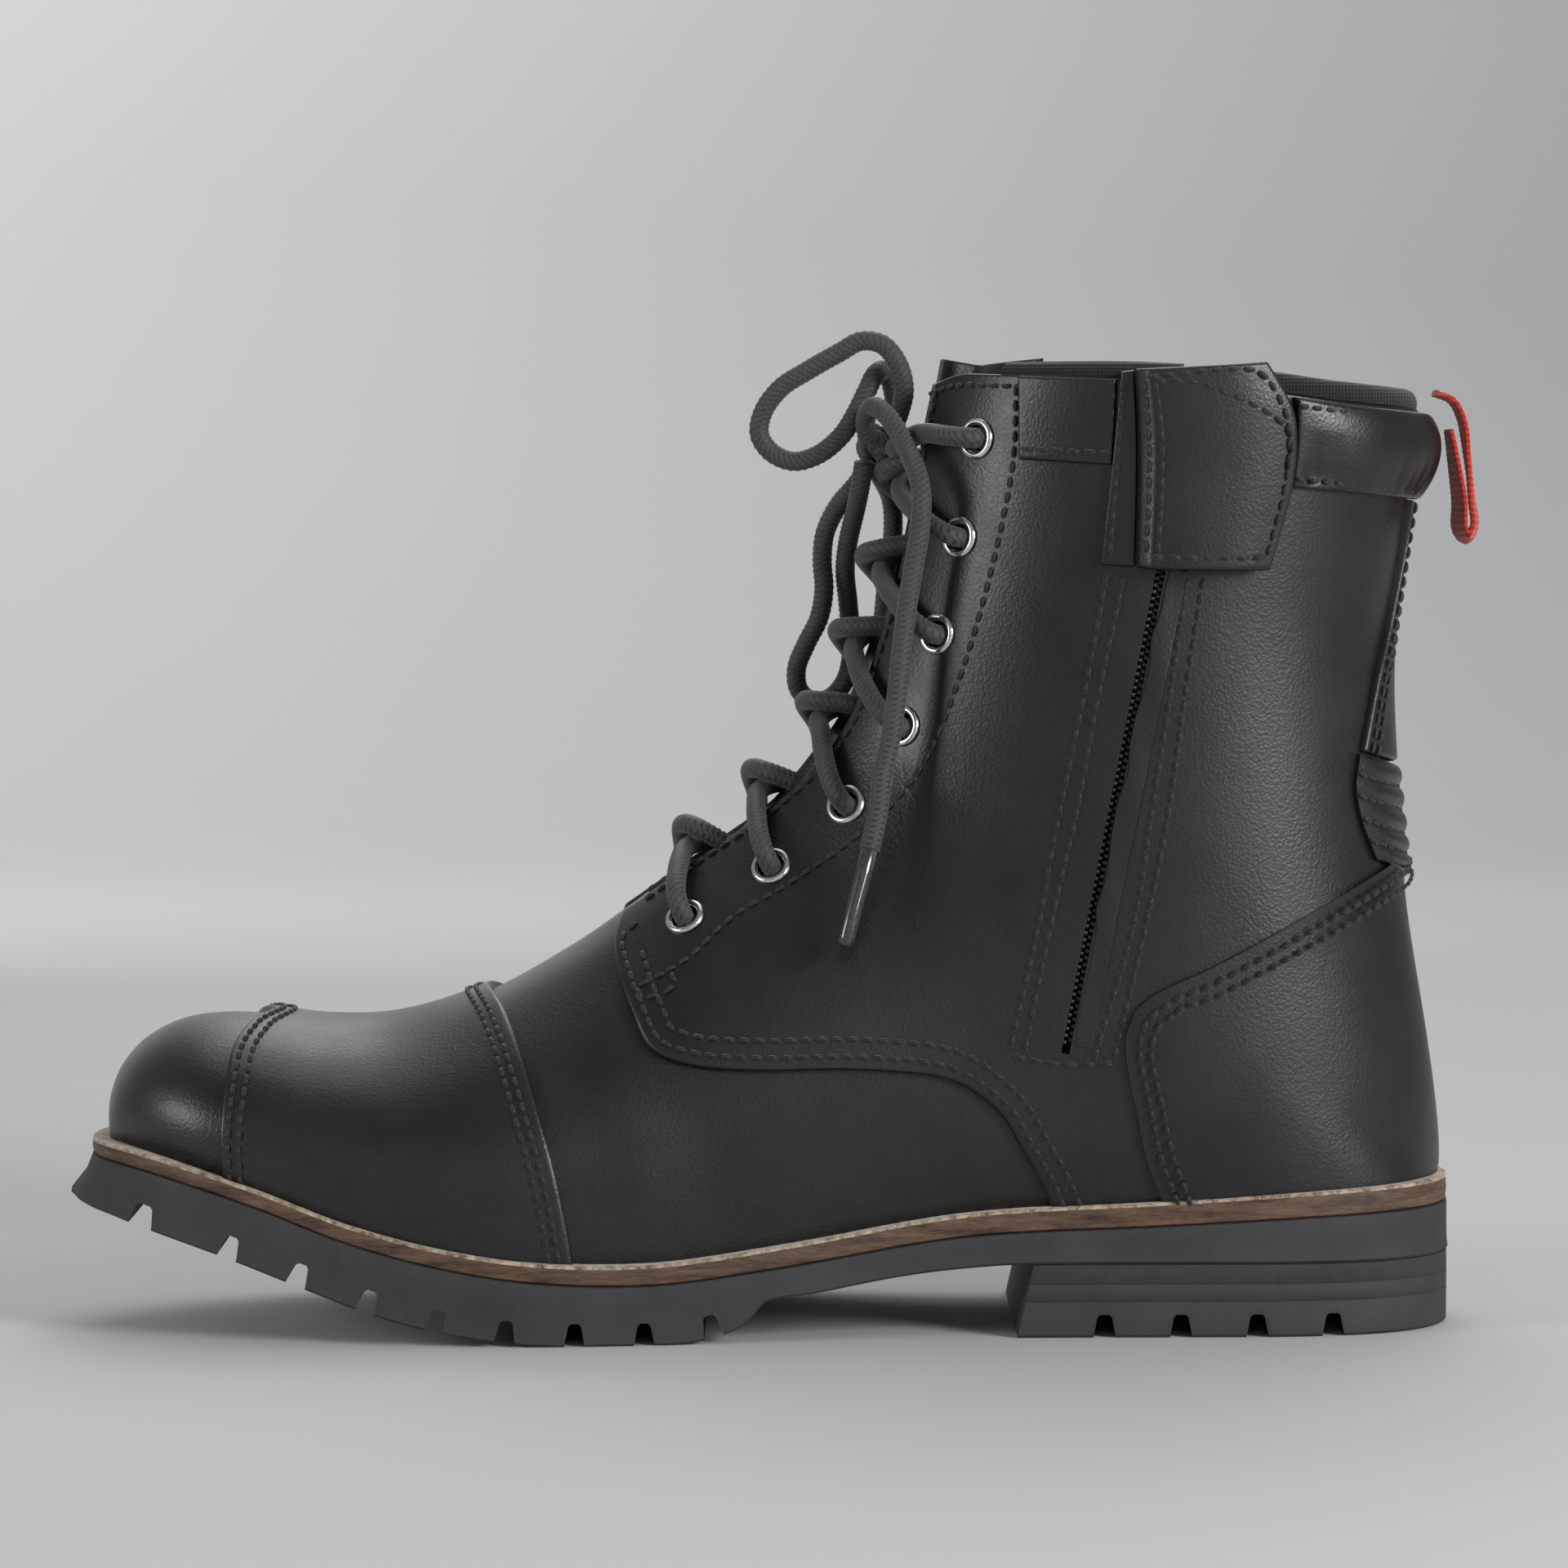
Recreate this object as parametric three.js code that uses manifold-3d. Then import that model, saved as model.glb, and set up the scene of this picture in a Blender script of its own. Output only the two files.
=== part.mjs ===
// Right-foot lace-up leather boot with a side zip under a hook-and-loop tab.
// Millimetres. X runs from toe (-) to heel (+), the zip side faces -Y, and Z is up.
import * as THREE from "three";
import { mergeVertices } from "three/addons/utils/BufferGeometryUtils.js";
import Module from "manifold-3d";

const wasm = await Module();
wasm.setup();

// ---------------------------------------------------------------- driving sizes
const SOLE_LENGTH = 304; // toe to heel, over the tread
const BALL_WIDTH = 108; // midsole at its widest
const RIM_HEIGHT = 212; // floor to the top of the textile rim
const LEATHER = 1.8; // every leather panel
const GAP = 0.3; // left between touching pieces
const LAYER_GAP = 0.6; // left between curved layers
const BACKING = 1.5; // leather behind the eyelets
const STIFFENER = 1.2; // toe puff and heel stiffener
const LINING = 2.0;
const MIDSOLE_TOE = 3.2; // midsole thickness at its two ends
const MIDSOLE_HEEL = 5.4;
const LUG_DEPTH = 5;
const LUG_GROOVE = 3.8;
const HEEL_LUG_GROOVE = 4.2;
const INSOLE_BOARD = 2.2;
const FOOTBED = 4;
const SHANK = 1.2;
const LACE = 4.5; // round lace, diameter
const LACE_PLAY = 0.65; // lace to eyelet bore, each side
const EYELET_WALL = 0.4;
const EYELET_FLANGE = 1.25; // flange beyond the barrel
const EYELETS = 7; // on each side
const ZIP_SLOT = 4;
const ZIP_TAPE = 9; // width of one tape
const ZIP_TAPE_THICKNESS = 0.9;
const ZIP_COIL = 1.5; // width of one row of coils
const ZIP_COIL_HEIGHT = 1.2;
const SLIDER_WIDTH = 8;
const SLIDER_LENGTH = 11;
const SLIDER_PLATE = 1.4;
const PULL_LENGTH = 18;
const PULL_WIDTH = 5;
const PULL_THICKNESS = 1;
const HOOK_AND_LOOP = 1.1; // either half of the fastener
const WEBBING = 1.5; // heel pull, thickness
const WEBBING_WIDTH = 11;
const COLLAR_PAD = 3.8; // how far the padded collar swells at the back
const RIM_BINDING = 3.2; // textile above the leather rim

// The pattern below is drawn at these sizes and is stretched to the driving sizes.
const PATTERN_LENGTH = 304;
const PATTERN_WIDTH = 108;
const PATTERN_HEIGHT = 212;
const ALONG = SOLE_LENGTH / PATTERN_LENGTH;
const ACROSS = BALL_WIDTH / PATTERN_WIDTH;
const UP = RIM_HEIGHT / PATTERN_HEIGHT;
const FINER = Math.max(1, ALONG, ACROSS, UP); // a bigger boot gets more faces

// Depths of the layers, measured outwards from the surface of the last.
const UNDER = [-LEATHER, 0];
const OVER = [GAP, GAP + LEATHER];
const TOP = [OVER[1] + LAYER_GAP, OVER[1] + LAYER_GAP + LEATHER];
const BACKED = [-GAP - BACKING, -GAP];
const PUFF = [-LEATHER - GAP - STIFFENER, -LEATHER - GAP];
const LINED = [PUFF[0] - LAYER_GAP - LINING, PUFF[0] - LAYER_GAP];
const LACE_BELOW = BACKED[0] - GAP - LACE / 2; // lace axis behind the eyelets
const LACE_ABOVE = OVER[1] + GAP + LACE / 2; // lace axis over the leather
const TONGUE_SIDE = LACE_BELOW - LACE / 2 - GAP - LAYER_GAP; // tongue surface under the laces

// ---------------------------------------------------------------- the last
// Sections run from the instep line (top) to the sole or heel line (foot).
// Columns: top x, top z, foot x, foot z, half width, half width at the foot,
// sideways shift, and where the section is widest as a share of its length.
const SECTIONS = [
  [-146.8, 45.0, -146.8, 45.0, 0.0, 0.0, -8.0, 0.6],
  [-146.4, 50.5, -145.6, 37.9, 9.5, 8.0, -8.0, 0.64],
  [-143.8, 57.0, -141.5, 37.7, 18.5, 17.0, -7.6, 0.66],
  [-138.2, 63.0, -134.0, 36.3, 28.0, 26.0, -7.0, 0.68],
  [-129.0, 67.1, -123.5, 33.4, 36.0, 34.0, -6.0, 0.7],
  [-116.0, 67.8, -110.0, 29.6, 42.0, 40.0, -4.5, 0.7],
  [-99.0, 65.6, -92.0, 23.0, 46.5, 45.0, -2.8, 0.7],
  [-82.5, 66.2, -73.0, 17.9, 49.5, 48.5, -1.0, 0.7],
  [-64.0, 72.0, -52.0, 14.5, 50.5, 49.5, 0.0, 0.7],
  [-46.0, 81.8, -26.0, 14.0, 49.0, 47.0, 1.0, 0.68],
  [-32.5, 91.0, 2.0, 17.4, 46.0, 42.0, 1.5, 0.66],
  [-18.0, 101.8, 40.0, 23.6, 42.5, 36.0, 1.0, 0.63],
  [-5.0, 111.8, 83.0, 26.0, 39.5, 33.0, 0.5, 0.62],
  [4.0, 120.6, 115.0, 28.0, 38.8, 31.0, 0.0, 0.58],
  [9.5, 127.5, 132.0, 29.0, 38.9, 24.5, 0.0, 0.55],
  [12.6, 132.2, 140.0, 29.5, 38.9, 14.0, 0.0, 0.53],
  [15.0, 136.8, 143.4, 30.0, 38.9, 0.0, 0.0, 0.52],
  [17.0, 141.0, 143.8, 42.0, 38.9, 0.0, 0.0, 0.51],
  [19.6, 147.0, 142.4, 60.0, 39.0, 0.0, 0.0, 0.5],
  [22.0, 153.0, 139.0, 82.0, 39.2, 0.0, 0.0, 0.5],
  [24.5, 159.5, 135.8, 104.0, 39.5, 0.0, 0.0, 0.5],
  [27.0, 167.5, 133.4, 128.0, 39.9, 0.0, 0.0, 0.5],
  [29.2, 176.5, 133.2, 150.0, 40.3, 0.0, 0.0, 0.5],
  [31.0, 186.0, 136.0, 172.0, 40.8, 0.0, 0.0, 0.5],
  [32.6, 196.0, 138.8, 190.0, 41.3, 0.0, 0.0, 0.5],
  [34.6, 205.5, 140.0, 203.0, 41.9, 0.0, 0.0, 0.5],
  [36.4, 213.5, 140.5, 216.0, 42.3, 0.0, 0.0, 0.5],
];
const SECTION_SCALE = [ALONG, UP, ALONG, UP, ACROSS, ACROSS, ACROSS, 1];

const LAST = SECTIONS.map((row) => row.map((value, i) => value * SECTION_SCALE[i]));
const LAST_END = LAST.length - 1;

// Catmull-Rom value between four neighbours.
function blend(a, b, c, d, f) {
  const slope = (c - a) / 2;
  const nextSlope = (d - b) / 2;
  const bend = 2 * b - 2 * c + slope + nextSlope;
  return b + f * (slope + f * (3 * (c - b) - 2 * slope - nextSlope + f * bend));
}

// The eight section values at any place t along the last.
function sectionAt(t) {
  const held = Math.min(Math.max(t, 0), LAST_END);
  const i = Math.min(Math.floor(held), LAST_END - 1);
  const rows = [i - 1, i, i + 1, i + 2].map((k) => LAST[Math.min(Math.max(k, 0), LAST_END)]);
  return rows[1].map((value, k) => blend(rows[0][k], value, rows[2][k], rows[3][k], held - i));
}

// s goes round a section: 0 on the instep line, 1 on the sole or heel line,
// 0 to 1 on the zip side and 1 to 2 (or 0 to -1) on the outer side.
function lastPoint(t, s) {
  const [topX, topZ, footX, footZ, width, foot, shift, widest] = sectionAt(t);
  const share = (1 - Math.cos(Math.PI * s)) / 2;
  const side = Math.sin(Math.PI * s) < 0 ? 1 : -1;
  let half = 0;
  if (share < widest) {
    half = width * Math.sqrt(Math.max(0, 1 - (1 - share / widest) ** 2));
  } else {
    const u = Math.min(1, (share - widest) / (1 - widest));
    const fullness = 0.5 + 0.5 * Math.min(1, Math.max(0, foot / Math.max(width, 1)));
    half = foot + (width - foot) * Math.max(0, 1 - u * u) ** fullness;
  }
  const x = topX + (footX - topX) * share;
  const z = topZ + (footZ - topZ) * share;
  return new THREE.Vector3(x, shift + side * half, z);
}

const STEP_T = 0.05;
const STEP_S = 0.012;
const WALL_STEP = 0.001;

// Outward normal. Where the sole side is open, the step stays on its own wall.
function lastNormal(t, s) {
  if (t < STEP_T) return new THREE.Vector3(-1, 0, 0);
  let from = s - STEP_S;
  let to = s + STEP_S;
  if (sectionAt(t)[5] > 0.5) {
    if (s > 1) from = Math.max(from, 1 + WALL_STEP);
    if (s <= 1) to = Math.min(to, 1 - WALL_STEP);
    if (s < 0) from = Math.max(from, WALL_STEP - 1);
  }
  from = Math.min(from, to - STEP_S);
  to = Math.max(to, from + STEP_S);
  const held = Math.min(Math.max(s, from), to);
  const around = lastPoint(t, to).sub(lastPoint(t, from));
  const ahead = lastPoint(Math.min(t + STEP_T, LAST_END), held);
  const along = ahead.sub(lastPoint(t - STEP_T, held));
  return around.cross(along).normalize();
}

// A point at depth d off the last, outwards.
function onLast(t, s, d = 0) {
  return lastPoint(t, s).addScaledVector(lastNormal(t, s), d);
}

// The place (t, s) on the zip side that a side view shows at x, z.
function locate(x, z) {
  const side = (t) => {
    const [topX, topZ, footX, footZ] = sectionAt(t);
    return (footX - topX) * (z - topZ) - (footZ - topZ) * (x - topX);
  };
  let low = 0.02;
  while (low < LAST_END - 0.25 && side(low + 0.25) > 0) low += 0.25;
  let high = Math.min(low + 0.25, LAST_END);
  for (let i = 0; i < 30; i++) {
    const middle = (low + high) / 2;
    if (side(middle) > 0) low = middle;
    else high = middle;
  }
  const [topX, topZ, footX, footZ] = sectionAt(low);
  const run = (footX - topX) ** 2 + (footZ - topZ) ** 2;
  const share = ((x - topX) * (footX - topX) + (z - topZ) * (footZ - topZ)) / run;
  return [low, Math.acos(1 - 2 * Math.min(Math.max(share, 0), 1)) / Math.PI];
}

// ---------------------------------------------------------------- solids
const SAME_POINT = 1e-4;

// One closed skin from loose triangles, turned so that its faces point outwards.
function closedGeometry(triangles) {
  const kept = triangles.filter(
    ([a, b, c]) =>
      a.distanceTo(b) > SAME_POINT && b.distanceTo(c) > SAME_POINT && c.distanceTo(a) > SAME_POINT,
  );
  const volume = kept.reduce((sum, [a, b, c]) => sum + a.dot(b.clone().cross(c)), 0);
  const faces = volume < 0 ? kept.map(([a, b, c]) => [a, c, b]) : kept;
  const flat = new Float32Array(faces.flat().flatMap((p) => [p.x, p.y, p.z]));
  return new THREE.BufferGeometry().setAttribute("position", new THREE.BufferAttribute(flat, 3));
}

function quad(a, b, c, d) {
  return [
    [a, b, c],
    [a, c, d],
  ];
}

// A skin over rings of points, closed at both ends; a ring may shrink to a point.
function loft(rings) {
  const count = rings[0].length;
  const triangles = [];
  for (let i = 0; i + 1 < rings.length; i++) {
    for (let j = 0; j < count; j++) {
      const next = (j + 1) % count;
      triangles.push(...quad(rings[i][j], rings[i][next], rings[i + 1][next], rings[i + 1][j]));
    }
  }
  const last = rings[rings.length - 1];
  for (let j = 1; j + 1 < count; j++) {
    triangles.push([rings[0][0], rings[0][j + 1], rings[0][j]]);
    triangles.push([last[0], last[j], last[j + 1]]);
  }
  return closedGeometry(triangles);
}

function toSolid(geometry) {
  const bare = geometry.clone();
  bare.deleteAttribute("normal");
  bare.deleteAttribute("uv");
  const merged = mergeVertices(bare, SAME_POINT);
  return new wasm.Manifold(
    new wasm.Mesh({
      numProp: 3,
      vertProperties: merged.attributes.position.array,
      triVerts: new Uint32Array(merged.index.array),
    }),
  );
}

function toGeometry(solid) {
  const mesh = solid.getMesh();
  const geometry = new THREE.BufferGeometry();
  geometry.setAttribute("position", new THREE.BufferAttribute(mesh.vertProperties, 3));
  geometry.setIndex(new THREE.BufferAttribute(mesh.triVerts, 1));
  return geometry.toNonIndexed();
}

function cut(geometry, ...tools) {
  const solid = tools.reduce((left, tool) => left.subtract(toSolid(tool)), toSolid(geometry));
  return toGeometry(solid);
}

function join(first, ...others) {
  return toGeometry(others.reduce((sum, other) => sum.add(toSolid(other)), toSolid(first)));
}

// A height given at a few places along the boot, smooth between them.
function heightLine(points) {
  const scaled = points.map(([x, z]) => [x * ALONG, z * UP]);
  const slope = (i) => {
    const a = scaled[Math.max(i - 1, 0)];
    const b = scaled[Math.min(i + 1, scaled.length - 1)];
    return (b[1] - a[1]) / (b[0] - a[0]);
  };
  return (x) => {
    const held = Math.min(Math.max(x, scaled[0][0]), scaled[scaled.length - 1][0]);
    let i = 0;
    while (i + 2 < scaled.length && scaled[i + 1][0] < held) i++;
    const [x0, z0] = scaled[i];
    const [x1, z1] = scaled[i + 1];
    const span = x1 - x0;
    const f = (held - x0) / span;
    const bend = f * f * (3 - 2 * f);
    const lean = f * (1 - f) * ((1 - f) * slope(i) - f * slope(i + 1)) * span;
    return z0 + (z1 - z0) * bend + lean;
  };
}

// ---------------------------------------------------------------- the sole
// Outline of the midsole: x, half width, sideways shift.
const OUTLINE = [
  [-150.4, 0, -8],
  [-149.6, 9, -8],
  [-146.6, 19, -7.8],
  [-140, 29, -7.2],
  [-129, 38, -6.2],
  [-113, 45, -4.6],
  [-95, 49.6, -3],
  [-74, 53, -1],
  [-50, 54, 0],
  [-25, 51.8, 1],
  [2, 47, 1.5],
  [32, 41.8, 1.2],
  [62, 39.4, 0.7],
  [90, 38.4, 0.3],
  [113, 37, 0],
  [130, 32.4, 0],
  [141, 24, 0],
  [147.2, 12.5, 0],
  [148.9, 0, 0],
].map(([x, half, shift]) => [x * ALONG, half * ACROSS, shift * ACROSS]);

// Place w (0 at the toe tip, 1 at the heel) on the outline, grown outwards by a margin.
function outlineAt(w, grow) {
  const place = w * (OUTLINE.length - 1);
  const i = Math.min(Math.floor(place), OUTLINE.length - 2);
  const rows = [i - 1, i, i + 1, i + 2].map(
    (k) => OUTLINE[Math.min(Math.max(k, 0), OUTLINE.length - 1)],
  );
  const at = (f) => [0, 1, 2].map((k) => blend(rows[0][k], rows[1][k], rows[2][k], rows[3][k], f));
  const [x, half, shift] = at(place - i);
  const nearby = at(place - i + 0.01);
  const run = nearby[0] - x;
  const rise = nearby[1] - half;
  const length = Math.hypot(run, rise);
  if (i === 0 && place < 0.01) return [x - grow, 0, shift];
  if (w >= 1) return [x + grow, 0, shift];
  return [x - (grow * rise) / length, half + (grow * run) / length, shift];
}

// A plate with the sole's outline; its top and bottom are heights along the boot.
function solePlate({ top, bottom, growTop, growBottom = growTop, from = 0, to = 1, steps = 34 }) {
  const rings = [];
  for (let k = 0; k <= steps; k++) {
    const w = from + ((to - from) * k) / steps;
    const upper = outlineAt(w, growTop);
    const lower = outlineAt(w, typeof growBottom === "function" ? growBottom(w) : growBottom);
    const [upHalf, downHalf] = [Math.max(upper[1], 0), Math.max(lower[1], 0)];
    rings.push([
      new THREE.Vector3(upper[0], upper[2] - upHalf, top(upper[0])),
      new THREE.Vector3(upper[0], upper[2] + upHalf, top(upper[0])),
      new THREE.Vector3(lower[0], lower[2] + downHalf, bottom(lower[0])),
      new THREE.Vector3(lower[0], lower[2] - downHalf, bottom(lower[0])),
    ]);
  }
  return loft(rings);
}

// Where the upper meets the midsole.
const seatLine = heightLine([
  [-151, 41.4],
  [-141.5, 40.6],
  [-133.8, 39.2],
  [-123, 36.4],
  [-110, 32.4],
  [-92.6, 26],
  [-73, 20.8],
  [-52, 17.6],
  [-26, 17],
  [2, 20.4],
  [41, 26.6],
  [83, 29],
  [122, 31.3],
  [149, 32.3],
]);
const midsoleBottom = (x) => {
  const share = Math.min(Math.max((x / SOLE_LENGTH) + 0.5, 0), 1);
  return seatLine(x) - MIDSOLE_TOE - (MIDSOLE_HEEL - MIDSOLE_TOE) * share;
};
const treadLine = heightLine([
  [-156, 28.2],
  [-143, 25.6],
  [-128, 21.6],
  [-115, 17.4],
  [-100, 11.8],
  [-87, 7],
  [-75, 3.6],
  [-60, 1],
  [-46, 0],
  [-22, 0],
  [-12, 1.6],
  [-5.5, 4.6],
  [-3, 8.4],
  [9, 10.4],
  [27, 13.6],
  [41, 15.2],
  [55, 16],
  [150, 16],
]);

const TREAD_FLARE_TOE = 5.2; // how far the tread stands out under the toe
const TREAD_FLARE_SIDE = 0.6;
const HEEL_BREAST = 56.2 * ALONG;
const HEEL_BREAST_LEAN = 3.6;
const FIRST_GROOVE = -137.5 * ALONG;
const GROOVE_START = -118 * ALONG;
const GROOVE_PITCH = 15 * ALONG;
const GROOVE_COUNT = 8;
const HEEL_GROOVE_START = 71.5 * ALONG;
const HEEL_GROOVE_PITCH = 16.6 * ALONG;
const HEEL_GROOVE_COUNT = 4;

// A bar across the sole, square to the tread at x.
function grooveCutter(x, width, line) {
  const bar = new THREE.BoxGeometry(width, 2.5 * BALL_WIDTH, 2 * LUG_DEPTH);
  const slope = Math.atan2(line(x + 1) - line(x - 1), 2);
  bar.rotateY(-slope);
  bar.translate(x, 0, line(x));
  return bar;
}

function outsole() {
  const plate = solePlate({
    top: (x) => midsoleBottom(x) - GAP,
    bottom: (x) => Math.max(treadLine(x), 0),
    growTop: 0.2,
    growBottom: (w) => TREAD_FLARE_SIDE + (TREAD_FLARE_TOE - TREAD_FLARE_SIDE) * Math.max(0, 1 - 7 * w),
    steps: 54,
  });
  const grooves = [grooveCutter(FIRST_GROOVE, LUG_GROOVE + 1, treadLine)];
  for (let i = 0; i < GROOVE_COUNT; i++) {
    grooves.push(grooveCutter(GROOVE_START + i * GROOVE_PITCH, LUG_GROOVE, treadLine));
  }
  return cut(plate, ...grooves);
}

function heelBlock() {
  const block = solePlate({ top: (x) => treadLine(x) - GAP, bottom: () => 0, growTop: 0.2, from: 0.5 });
  const depth = 200;
  const front = new THREE.BoxGeometry(depth, 2.5 * BALL_WIDTH, depth);
  front.translate(-depth / 2, 0, 0);
  front.rotateY(-Math.atan2(HEEL_BREAST_LEAN, treadLine(HEEL_BREAST)));
  front.translate(HEEL_BREAST, 0, treadLine(HEEL_BREAST));
  const ground = () => 0;
  const grooves = [];
  for (let i = 0; i < HEEL_GROOVE_COUNT; i++) {
    grooves.push(grooveCutter(HEEL_GROOVE_START + i * HEEL_GROOVE_PITCH, HEEL_LUG_GROOVE, ground));
  }
  return cut(block, front, ...grooves);
}

const BOARD_INSET = 8.6 * ALONG; // from the lining's foot to the boards
const INSIDE = LINED[0] - BOARD_INSET; // from the midsole outline to the boards inside the lining
const boardBase = (x) => seatLine(x) + GAP + SHANK + GAP;

function shank() {
  const [from, to, half] = [-6 * ALONG, 100 * ALONG, 7 * ACROSS];
  const steps = 12;
  const rings = [];
  for (let k = 0; k <= steps; k++) {
    const x = from + ((to - from) * k) / steps;
    const low = seatLine(x) + GAP;
    rings.push([
      new THREE.Vector3(x, -half, low),
      new THREE.Vector3(x, half, low),
      new THREE.Vector3(x, half, low + SHANK),
      new THREE.Vector3(x, -half, low + SHANK),
    ]);
  }
  return loft(rings);
}

// ---------------------------------------------------------------- panels on the last
const T_MM = 9; // roughly how long one section step and one turn are
const S_MM = 90;

// A seam through places [t, s], sampled evenly from 0 to 1.
function seam(places) {
  const points = places.map(([t, s]) => new THREE.Vector3(t * T_MM, s * S_MM, 0));
  const curve = new THREE.CatmullRomCurve3(points, false, "centripetal");
  return (f) => {
    const p = curve.getPointAt(Math.min(Math.max(f, 0), 1));
    return [p.x / T_MM, p.y / S_MM];
  };
}

// Side-view points, in pattern millimetres, as places on the last.
function places(points) {
  return points.map(([x, z]) => locate(x * ALONG, z * UP));
}

function mirrored(list) {
  return list.map(([t, s]) => [t, -s]);
}

// From the outer side over the instep to the zip side.
function overInstep(list) {
  return [...mirrored(list).reverse(), ...list.filter(([, s]) => s > 0)];
}

// From the zip side round the heel to the outer side.
function roundHeel(list) {
  return [...list, ...list.filter(([, s]) => s < 1).map(([t, s]) => [t, 2 - s]).reverse()];
}

// The patch between four seams; bottom and top run along u, left and right along v.
function patch(bottom, top, left, right) {
  const corners = [bottom(0), bottom(1), top(0), top(1)];
  return (u, v) =>
    [0, 1].map((k) => {
      const ruled = (1 - v) * bottom(u)[k] + v * top(u)[k] + (1 - u) * left(v)[k] + u * right(v)[k];
      const low = (1 - u) * corners[0][k] + u * corners[1][k];
      const high = (1 - u) * corners[2][k] + u * corners[3][k];
      return ruled - (1 - v) * low - v * high;
    });
}

// A sheet of leather or lining over a patch, between two depths.
function panel(place, [inner, outer], acrossFaces, upFaces) {
  const columns = Math.ceil(acrossFaces * FINER);
  const rows = Math.ceil(upFaces * FINER);
  const depth = (value, u, v) => (typeof value === "function" ? value(u, v) : value);
  const skin = (level) =>
    Array.from({ length: rows + 1 }, (_, j) =>
      Array.from({ length: columns + 1 }, (_, i) => {
        const [u, v] = [i / columns, j / rows];
        const [t, s] = place(u, v);
        return onLast(t, s, depth(level, u, v));
      }),
    );
  const under = skin(inner);
  const over = skin(outer);
  const triangles = [];
  for (let j = 0; j < rows; j++) {
    for (let i = 0; i < columns; i++) {
      triangles.push(...quad(over[j][i], over[j][i + 1], over[j + 1][i + 1], over[j + 1][i]));
      triangles.push(...quad(under[j][i], under[j + 1][i], under[j + 1][i + 1], under[j][i + 1]));
    }
  }
  for (let i = 0; i < columns; i++) {
    triangles.push(...quad(under[0][i], under[0][i + 1], over[0][i + 1], over[0][i]));
    triangles.push(...quad(over[rows][i], over[rows][i + 1], under[rows][i + 1], under[rows][i]));
  }
  for (let j = 0; j < rows; j++) {
    triangles.push(...quad(over[j][0], over[j + 1][0], under[j + 1][0], under[j][0]));
    const [lowIn, lowOut] = [under[j][columns], over[j][columns]];
    const [highIn, highOut] = [under[j + 1][columns], over[j + 1][columns]];
    triangles.push(...quad(lowIn, highIn, highOut, lowOut));
  }
  return closedGeometry(triangles);
}

// Everything below the seat line, taken off the lower edge of each panel.
const soleBlank = solePlate({
  top: (x) => seatLine(x) + GAP,
  bottom: () => -40,
  growTop: 30,
  steps: 34,
});

// Keeps a place on its own side of the open sole line.
function onOwnSide(place) {
  return (u, v) => {
    const [t, s] = place(u, v);
    return [t, Math.min(Math.max(s, -1), 1)];
  };
}

function lasted(place, depths, columns, rows) {
  return cut(panel(place, depths, columns, rows), soleBlank);
}

// ---------------------------------------------------------------- pattern lines, side view
const SOLE_EDGE = (list) => list.map(([t, s], i) => [t, i === list.length - 1 ? 1 : s]);
const PAD_FRONT = SOLE_EDGE(
  places([
    [-110.9, 67.6],
    [-115.2, 65.6],
    [-117.7, 61.5],
    [-118.6, 53],
    [-119, 43],
    [-118.4, 33],
  ]),
);
const PAD_REAR = SOLE_EDGE(
  places([
    [-62.6, 72.8],
    [-58.2, 68.6],
    [-54.3, 60.3],
    [-50.5, 48.7],
    [-47, 36.7],
    [-43.6, 15],
  ]),
);
const VAMP_REAR = SOLE_EDGE(
  places([
    [-28, 94],
    [-26.5, 84],
    [-18, 71.5],
    [2, 65.5],
    [28, 65],
    [46, 61],
    [59, 49],
    [66, 27],
  ]),
);
const QUARTER_FRONT = SOLE_EDGE(
  places([
    [-32.9, 89.6],
    [-34.4, 84],
    [-33.2, 75.9],
    [-30.7, 69.6],
    [-26.8, 62.6],
    [-20, 59.6],
    [-2, 58.2],
    [22.9, 58.2],
    [37.2, 56.4],
    [47.4, 50.1],
    [53.7, 40.6],
    [57.6, 26],
  ]),
);
const RIM = places([
  [36.6, 206.4],
  [42, 208.4],
  [48, 208.4],
  [74, 207.8],
  [107, 204.8],
  [122, 202.8],
]);
const COUNTER_FRONT = SOLE_EDGE(
  places([
    [77.6, 71.4],
    [75.8, 66],
    [75.9, 60],
    [78, 50],
    [80.5, 38.8],
    [82.3, 26],
  ]),
);
const COUNTER_TOP = places([
  [77.6, 71.4],
  [82, 74.4],
  [94, 80.4],
  [108, 88],
  [122.5, 96],
  [133, 101.5],
]);
const LINING_FRONT = places([
  [53.3, 205],
  [52.6, 190.5],
  [49.4, 172.8],
  [44.5, 153.4],
  [39.2, 137.4],
  [33.9, 125],
  [26.8, 115.3],
  [16.2, 105.6],
  [2, 95.8],
  [-8.6, 89],
  [-17, 80],
]);
const EYELET_LINE = [
  [-18.8, 89],
  [-0.1, 100.2],
  [15.9, 113.5],
  [29.2, 132.4],
  [36.7, 152.3],
  [41.6, 173.6],
  [45.2, 194.4],
];
const ZIP_LOW = [62.7, 62]; // the zip runs straight between these two, side view
const ZIP_HIGH = [91.9, 212];

const BACK_SEAM = 0.992; // the two quarters stop just short of each other
const EYESTAY_GAP = 0.09; // the eyestay edge, as a turn from the instep line
const T_RIM_BACK = locate(140 * ALONG, 201 * UP)[0];
const T_HEEL = 16; // the section at the heel corner
const lowT = QUARTER_FRONT[QUARTER_FRONT.length - 1][0];
const throat = [QUARTER_FRONT[0][0], EYESTAY_GAP];
const rimFront = [RIM[0][0], EYESTAY_GAP];

// ---------------------------------------------------------------- toe and vamp
const STEP_BACK = 0.55; // seam allowance under an overlap, in sections

function shifted(list, dt) {
  return list.map(([t, s]) => [t + dt, s]);
}

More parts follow.
